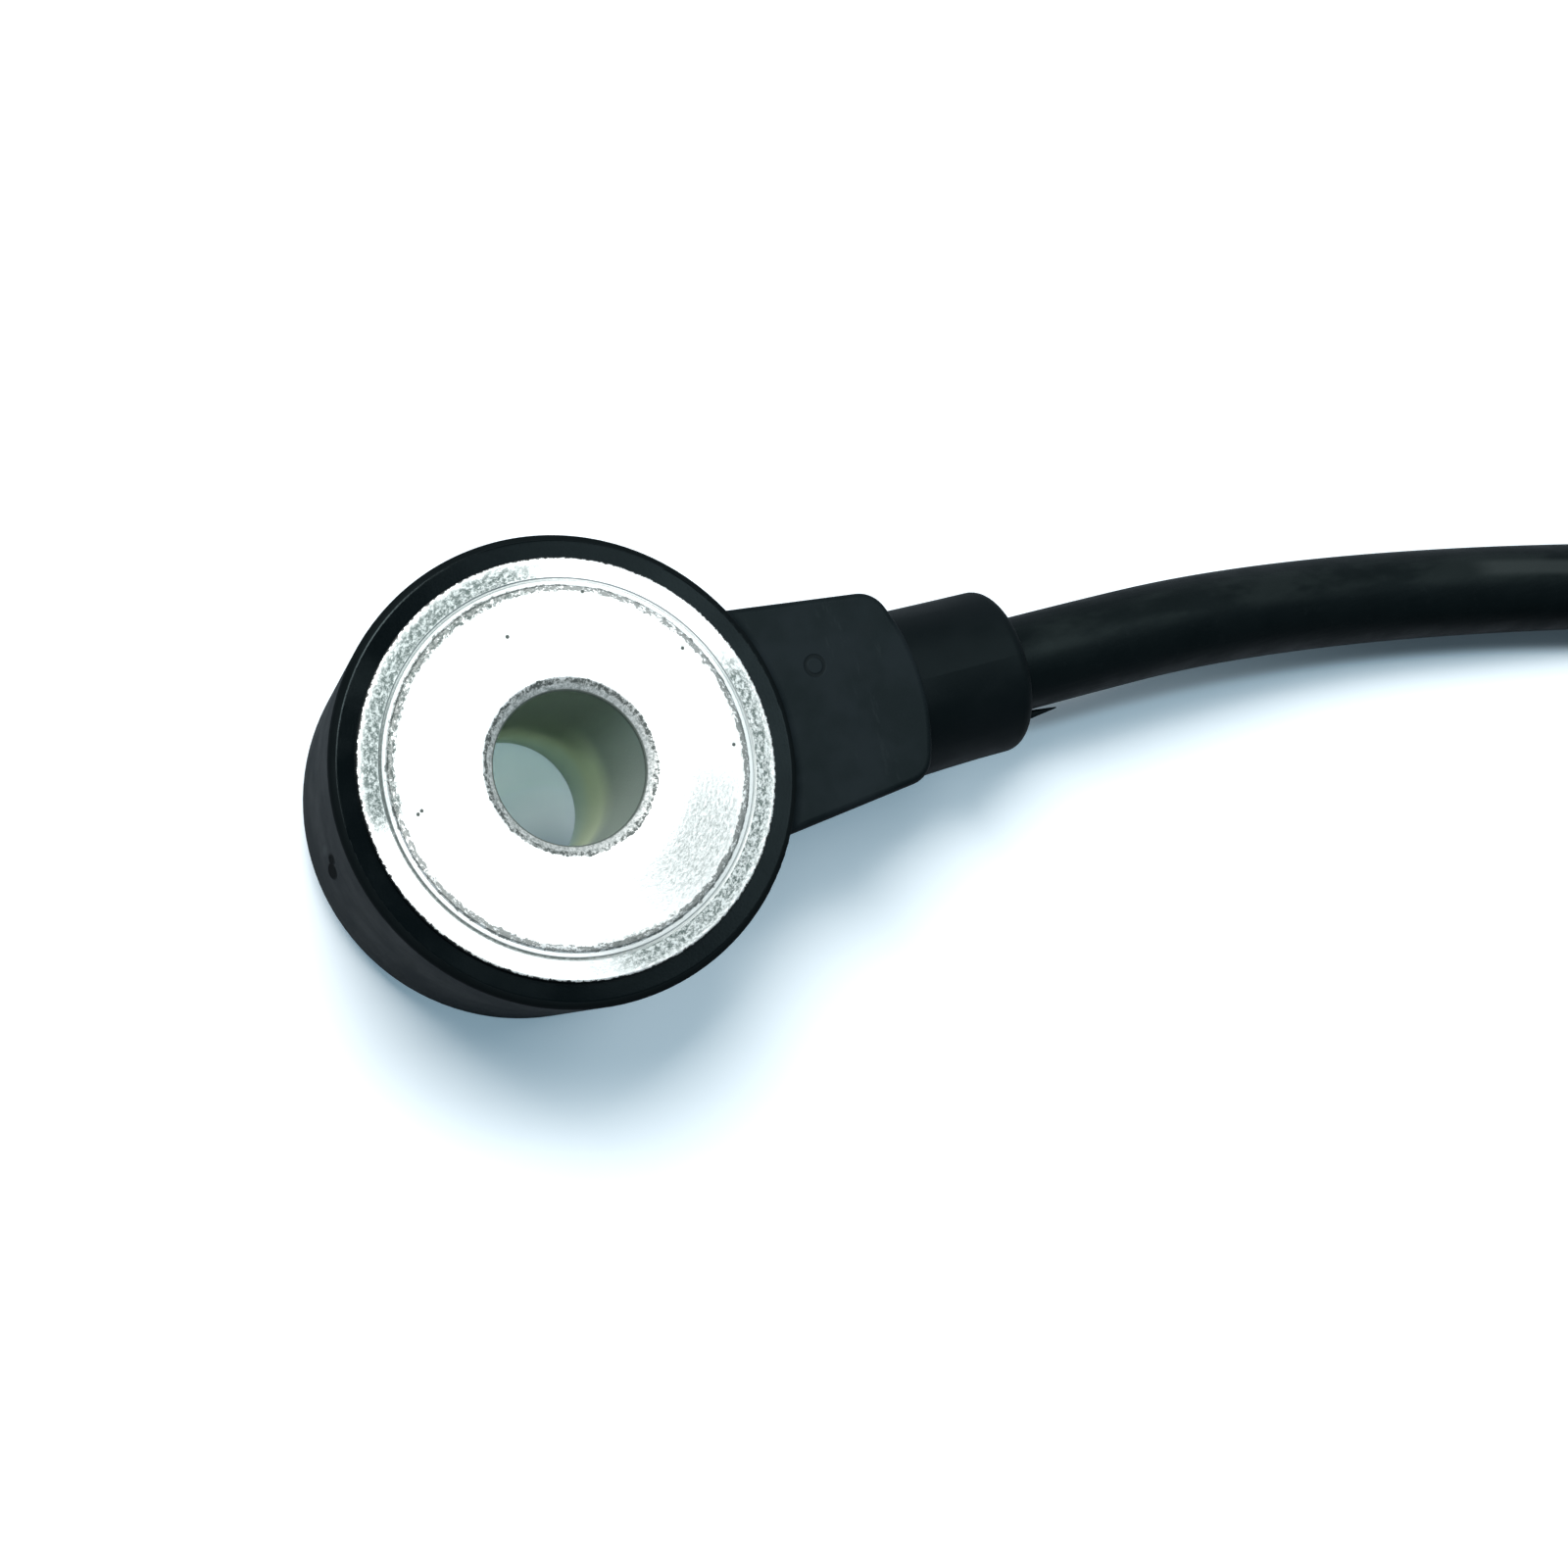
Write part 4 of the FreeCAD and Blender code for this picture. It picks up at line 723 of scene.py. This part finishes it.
class SENSOR_OT_lead(bpy.types.Operator):
    """Lays the lead along its route, round its coil and on to the plug"""

    bl_idname = "sensor.lead"
    bl_label = "Lead"

    def execute(self, context):
        """Draws the cord and hides the loaded model's lead."""
        sizes = context.scene.sensor_sizes
        data = bpy.data.curves.new("lead", "CURVE")
        data.dimensions = "3D"
        route = LEAD_ROUTE + coil_points(sizes.coil_radius, sizes.coil_steps) + TAIL_ROUTE
        spline = data.splines.new("NURBS")
        spline.points.add(len(route) - 1)
        for point, spot in zip(spline.points, route):
            point.co = (*spot, 1.0)
        spline.order_u = 3
        spline.use_endpoint_u = True
        spline.resolution_u = LEAD_STEPS
        data.resolution_u = LEAD_STEPS
        data.bevel_depth = sizes.lead_diameter / 2
        data.bevel_resolution = LEAD_SIDES
        data.use_fill_caps = True
        lead = bpy.data.objects.new("lead", data)
        context.scene.collection.objects.link(lead)
        lead.data.materials.append(sheath_finish(context.scene.sensor_colours))
        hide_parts("cable_lead", "cable_coil", "cable_tail")
        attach(lead, "root")
        return {"FINISHED"}


def plastic(name, tone, rough, grain=0.02, other=None):
    """A moulded or rolled plastic with a cloudy tone and a fine grain."""
    finish = Finish(name)
    cloud = finish.noise(0.4, 3.0)
    shade = finish.blend(cloud, tone, other or tuple(min(1, c * 1.6 + 0.004) for c in tone))
    return finish.set(
        Base_Color=shade,
        Roughness=finish.step(cloud, 0.3, 0.7, rough - 0.06, rough + 0.06),
        Specular_IOR_Level=0.4,
        Normal=finish.relief(finish.noise(6.0, 3.0, 0.7), grain),
    )


def metal(name, tone, rough, stretch):
    """A worked metal with fine marks along its working direction."""
    finish = Finish(name)
    marks = finish.noise(5.0, 3.0, 0.7, finish.stretched(stretch))
    shade = finish.blend(marks, tone, tuple(c * 0.7 for c in tone))
    return finish.set(
        Base_Color=shade,
        Metallic=1.0,
        Roughness=finish.step(marks, 0.3, 0.7, rough - 0.08, rough + 0.1),
        Normal=finish.relief(marks, 0.01),
    )


class SENSOR_OT_plug(bpy.types.Operator):
    """Finishes the plug, its pins, its lock and its boot, and the bands of the coil"""

    bl_idname = "sensor.plug"
    bl_label = "Plug and bands"

    def execute(self, context):
        """Dresses the pieces past the lead's far end."""
        clip = context.scene.sensor_colours.clip
        dress(plastic("plug_plastic", (0.012, 0.0125, 0.014), 0.46, 0.025), "plug_housing")
        dress(plastic("clip_plastic", clip, 0.38, 0.01), "plug_lock_clip")
        dress(plastic("boot_rubber", (0.01, 0.01, 0.011), 0.62, 0.03), "plug_boot")
        tin = metal("pin_metal", (0.72, 0.71, 0.66), 0.28, (0.1, 1.0, 1.0))
        dress(tin, "plug_pin_signal", "plug_pin_ground")
        band = plastic("tie_band", (0.014, 0.014, 0.016), 0.36, 0.012)
        dress(band, "near_coil_tie", "far_coil_tie")
        return {"FINISHED"}


class SENSOR_OT_stack(bpy.types.Operator):
    """Finishes the pieces sealed in the moulding"""

    bl_idname = "sensor.stack"
    bl_label = "Sealed pieces"

    def execute(self, context):
        """Dresses the clamped stack and the wiring."""
        film = plastic("insulator", (0.5, 0.4, 0.22), 0.4, 0.006)
        dress(film, "insulating_sleeve", "upper_insulating_washer", "lower_insulating_washer")
        brass = metal("contact_brass", (0.7, 0.52, 0.24), 0.3, (0.15, 1.0, 1.0))
        dress(brass, "signal_contact_ring", "ground_contact_ring", "signal_crimp", "ground_crimp")
        steel = metal("mass_steel", (0.45, 0.45, 0.44), 0.36, (1.0, 1.0, 6.0))
        dress(steel, "seismic_mass", "clamping_nut")
        spring = metal("spring_steel", (0.24, 0.25, 0.28), 0.32, (1, 1, 1))
        dress(spring, "disc_spring")
        ceramic = plastic("piezo_ceramic", (0.55, 0.51, 0.42), 0.55, 0.01, (0.62, 0.58, 0.5))
        dress(ceramic, "piezo_ring")
        dress(plastic("core_sheath_light", (0.6, 0.59, 0.55), 0.4, 0.006), "signal_core")
        dress(plastic("core_sheath_dark", (0.012, 0.012, 0.013), 0.4, 0.006), "ground_core")
        return {"FINISHED"}


TABLE_SIZE = 6.0

# Soft lamps: name, place and size in metres, watts and tint. Both aim at the bush.
LAMPS = (
    ("key_softbox", (-0.06, 0.165, 0.34), 0.19, 1.75, (1.0, 0.99, 0.97)),
    ("top_softbox", (0.205, 0.05, 0.34), 0.18, 0.3, (0.92, 0.98, 1.0)),
)
LAMP_AIM = (0.012, 0, 0.008)

# The camera, fitted to the photo: lens and sensor in millimetres, place in metres, directions.
CAMERA_LENS = 63
CAMERA_SENSOR = 36
CAMERA_PLACE = (-0.04223, -0.0149, 0.1548)
CAMERA_AHEAD = (0.35775, 0.07368, -0.93091)
CAMERA_RIGHT = (0.90049, -0.29115, 0.32301)


def table_finish(colours):
    """White table, a little brighter to the camera than to the object that stands on it, with painted
    shade down the bore and a painted shadow beside the lead.
    """
    cool_glow = (0.48, 0.775, 0.97)
    unseen_grey = (0.34, 0.38, 0.42)
    bore_shade = (0.07, 0.07, 0.055)
    lead_shade = (0.3, 0.31, 0.33)
    surface = Finish("table_white")
    surface.tree.nodes.remove(surface.shader)
    matt = surface.node("BsdfDiffuse")
    glow = surface.node("Emission")
    surface.feed(glow.inputs["Color"], cool_glow)
    seen = surface.node("LightPath").outputs["Is Camera Ray"]
    # Down the bore the table has painted shade, darkest on the side of the key light's shadow.
    deep = surface.step(surface.radius(), 4.2, 5.2, 0.8, 1.0)
    shadow = surface.step(surface.distance((1.4, -4.4, 0)), 1.0, 7.0, 1.0, 0.0)
    # Beside the lead the table has a painted shadow that deepens as the lead comes down to it: the
    # glow is dimmed there.
    x = surface.axes()[0]
    close = surface.band(surface.beside_lead(), -2.8, 2.0, 1.3)
    close = surface.times(close, surface.band(x, 36.0, 78.0, 8.0))
    dimmed = surface.step(close, 0.0, 1.0, 1.0, 0.15)
    surface.join(surface.times(seen, 0.24, deep, dimmed), glow.inputs["Strength"])
    shown = surface.blend(shadow, colours.floor, bore_shade)
    # The painted shadow also darkens the table's colour where the lead lies lowest.
    low = surface.times(close, surface.step(x, 42.0, 66.0, 0.0, 0.9))
    shown = surface.blend(low, shown, lead_shade)
    surface.join(surface.blend(seen, unseen_grey, shown), matt.inputs["Color"])
    both = surface.node("AddShader")
    surface.join(matt.outputs[0], both.inputs[0])
    surface.join(glow.outputs[0], both.inputs[1])
    surface.join(both.outputs[0], surface.output.inputs["Surface"])
    return surface.material


def backdrop(tree, tone, strength):
    """A plain Background node."""
    node = tree.nodes.new("ShaderNodeBackground")
    node.inputs["Color"].default_value = (*tone, 1.0)
    node.inputs["Strength"].default_value = strength
    return node.outputs[0]


def soft_room():
    """A dim, cool room that the camera sees as plain white."""
    world = bpy.data.worlds.new("soft_room")
    world.use_nodes = True
    tree = world.node_tree
    tree.nodes.clear()
    out = tree.nodes.new("ShaderNodeOutputWorld")
    mix = tree.nodes.new("ShaderNodeMixShader")
    seen = tree.nodes.new("ShaderNodeLightPath").outputs["Is Camera Ray"]
    tree.links.new(seen, mix.inputs[0])
    tree.links.new(backdrop(tree, (0.64, 0.86, 1.0), 0.26), mix.inputs[1])
    tree.links.new(backdrop(tree, (1, 1, 1), 1.0), mix.inputs[2])
    tree.links.new(mix.outputs[0], out.inputs["Surface"])
    return world


def hang_lamp(scene, name, place, size, power, tint):
    """A square soft lamp, aimed at the bush."""
    lamp = bpy.data.lights.new(name, "AREA")
    lamp.shape = "SQUARE"
    lamp.size = size
    lamp.energy = power
    lamp.color = tint
    holder = bpy.data.objects.new(name, lamp)
    scene.collection.objects.link(holder)
    aim = Vector(LAMP_AIM) - Vector(place)
    holder.location = place
    holder.rotation_euler = aim.to_track_quat("-Z", "Y").to_euler()


def set_camera(scene):
    """The camera at the photo's angle."""
    view = bpy.data.cameras.new("camera")
    view.lens = CAMERA_LENS
    view.sensor_width = CAMERA_SENSOR
    view.clip_start = 0.01
    view.clip_end = 20.0
    camera = bpy.data.objects.new("camera", view)
    scene.collection.objects.link(camera)
    ahead = Vector(CAMERA_AHEAD).normalized()
    right = Vector(CAMERA_RIGHT).normalized()
    up = right.cross(ahead)
    turn = Matrix((right, up, -ahead)).transposed().to_4x4()
    camera.matrix_world = Matrix.Translation(CAMERA_PLACE) @ turn
    scene.camera = camera


class SENSOR_OT_stage(bpy.types.Operator):
    """Sets the white table, the soft light and the camera"""

    bl_idname = "sensor.stage"
    bl_label = "Table, light and camera"

    def execute(self, context):
        """Lays the table and puts up the room, the lamps and the camera."""
        scene = context.scene
        clear_selection()
        # A hair below the floor's height, so that nothing lies in one plane with it.
        bpy.ops.mesh.primitive_plane_add(size=TABLE_SIZE, location=(0, 0, -0.02 * MM))
        table = settle("table")
        wear(table, table_finish(scene.sensor_colours))
        scene.world = soft_room()
        for lamp in LAMPS:
            hang_lamp(scene, *lamp)
        set_camera(scene)
        scene.view_settings.view_transform = "Standard"
        return {"FINISHED"}


class SENSOR_PT_panel(bpy.types.Panel):
    """The sensor's pieces, in the order in which they are made"""

    bl_label = "Knock sensor"
    bl_idname = "SENSOR_PT_panel"
    bl_space_type = "VIEW_3D"
    bl_region_type = "UI"
    bl_category = "Knock sensor"

    def draw(self, context):
        """Lists the operators, then the sizes and the colours."""
        column = self.layout.column(align=True)
        for operator in OPERATORS:
            column.operator(operator.bl_idname)
        for group in (context.scene.sensor_sizes, context.scene.sensor_colours):
            box = self.layout.box()
            for key in group.bl_rna.properties.keys():
                if key not in ("rna_type", "name"):
                    box.prop(group, key)


OPERATORS = (
    SENSOR_OT_stage,
    SENSOR_OT_lead,
    SENSOR_OT_bush,
    SENSOR_OT_moulding,
    SENSOR_OT_plug,
    SENSOR_OT_stack,
)
CLASSES = (SensorSizes, SensorColours) + OPERATORS + (SENSOR_PT_panel,)


def register():
    """Registers the classes and hangs the sizes and colours on the scene."""
    for cls in CLASSES:
        bpy.utils.register_class(cls)
    bpy.types.Scene.sensor_sizes = PointerProperty(type=SensorSizes)
    bpy.types.Scene.sensor_colours = PointerProperty(type=SensorColours)


def unregister():
    """Undoes what register does."""
    del bpy.types.Scene.sensor_colours
    del bpy.types.Scene.sensor_sizes
    for cls in reversed(CLASSES):
        bpy.utils.unregister_class(cls)


def main():
    """Makes the object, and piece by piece."""
    register()
    bpy.ops.sensor.stage()
    bpy.ops.sensor.lead()
    bpy.ops.sensor.bush()
    bpy.ops.sensor.moulding()
    bpy.ops.sensor.plug()
    bpy.ops.sensor.stack()


if __name__ == "__main__":
    main()
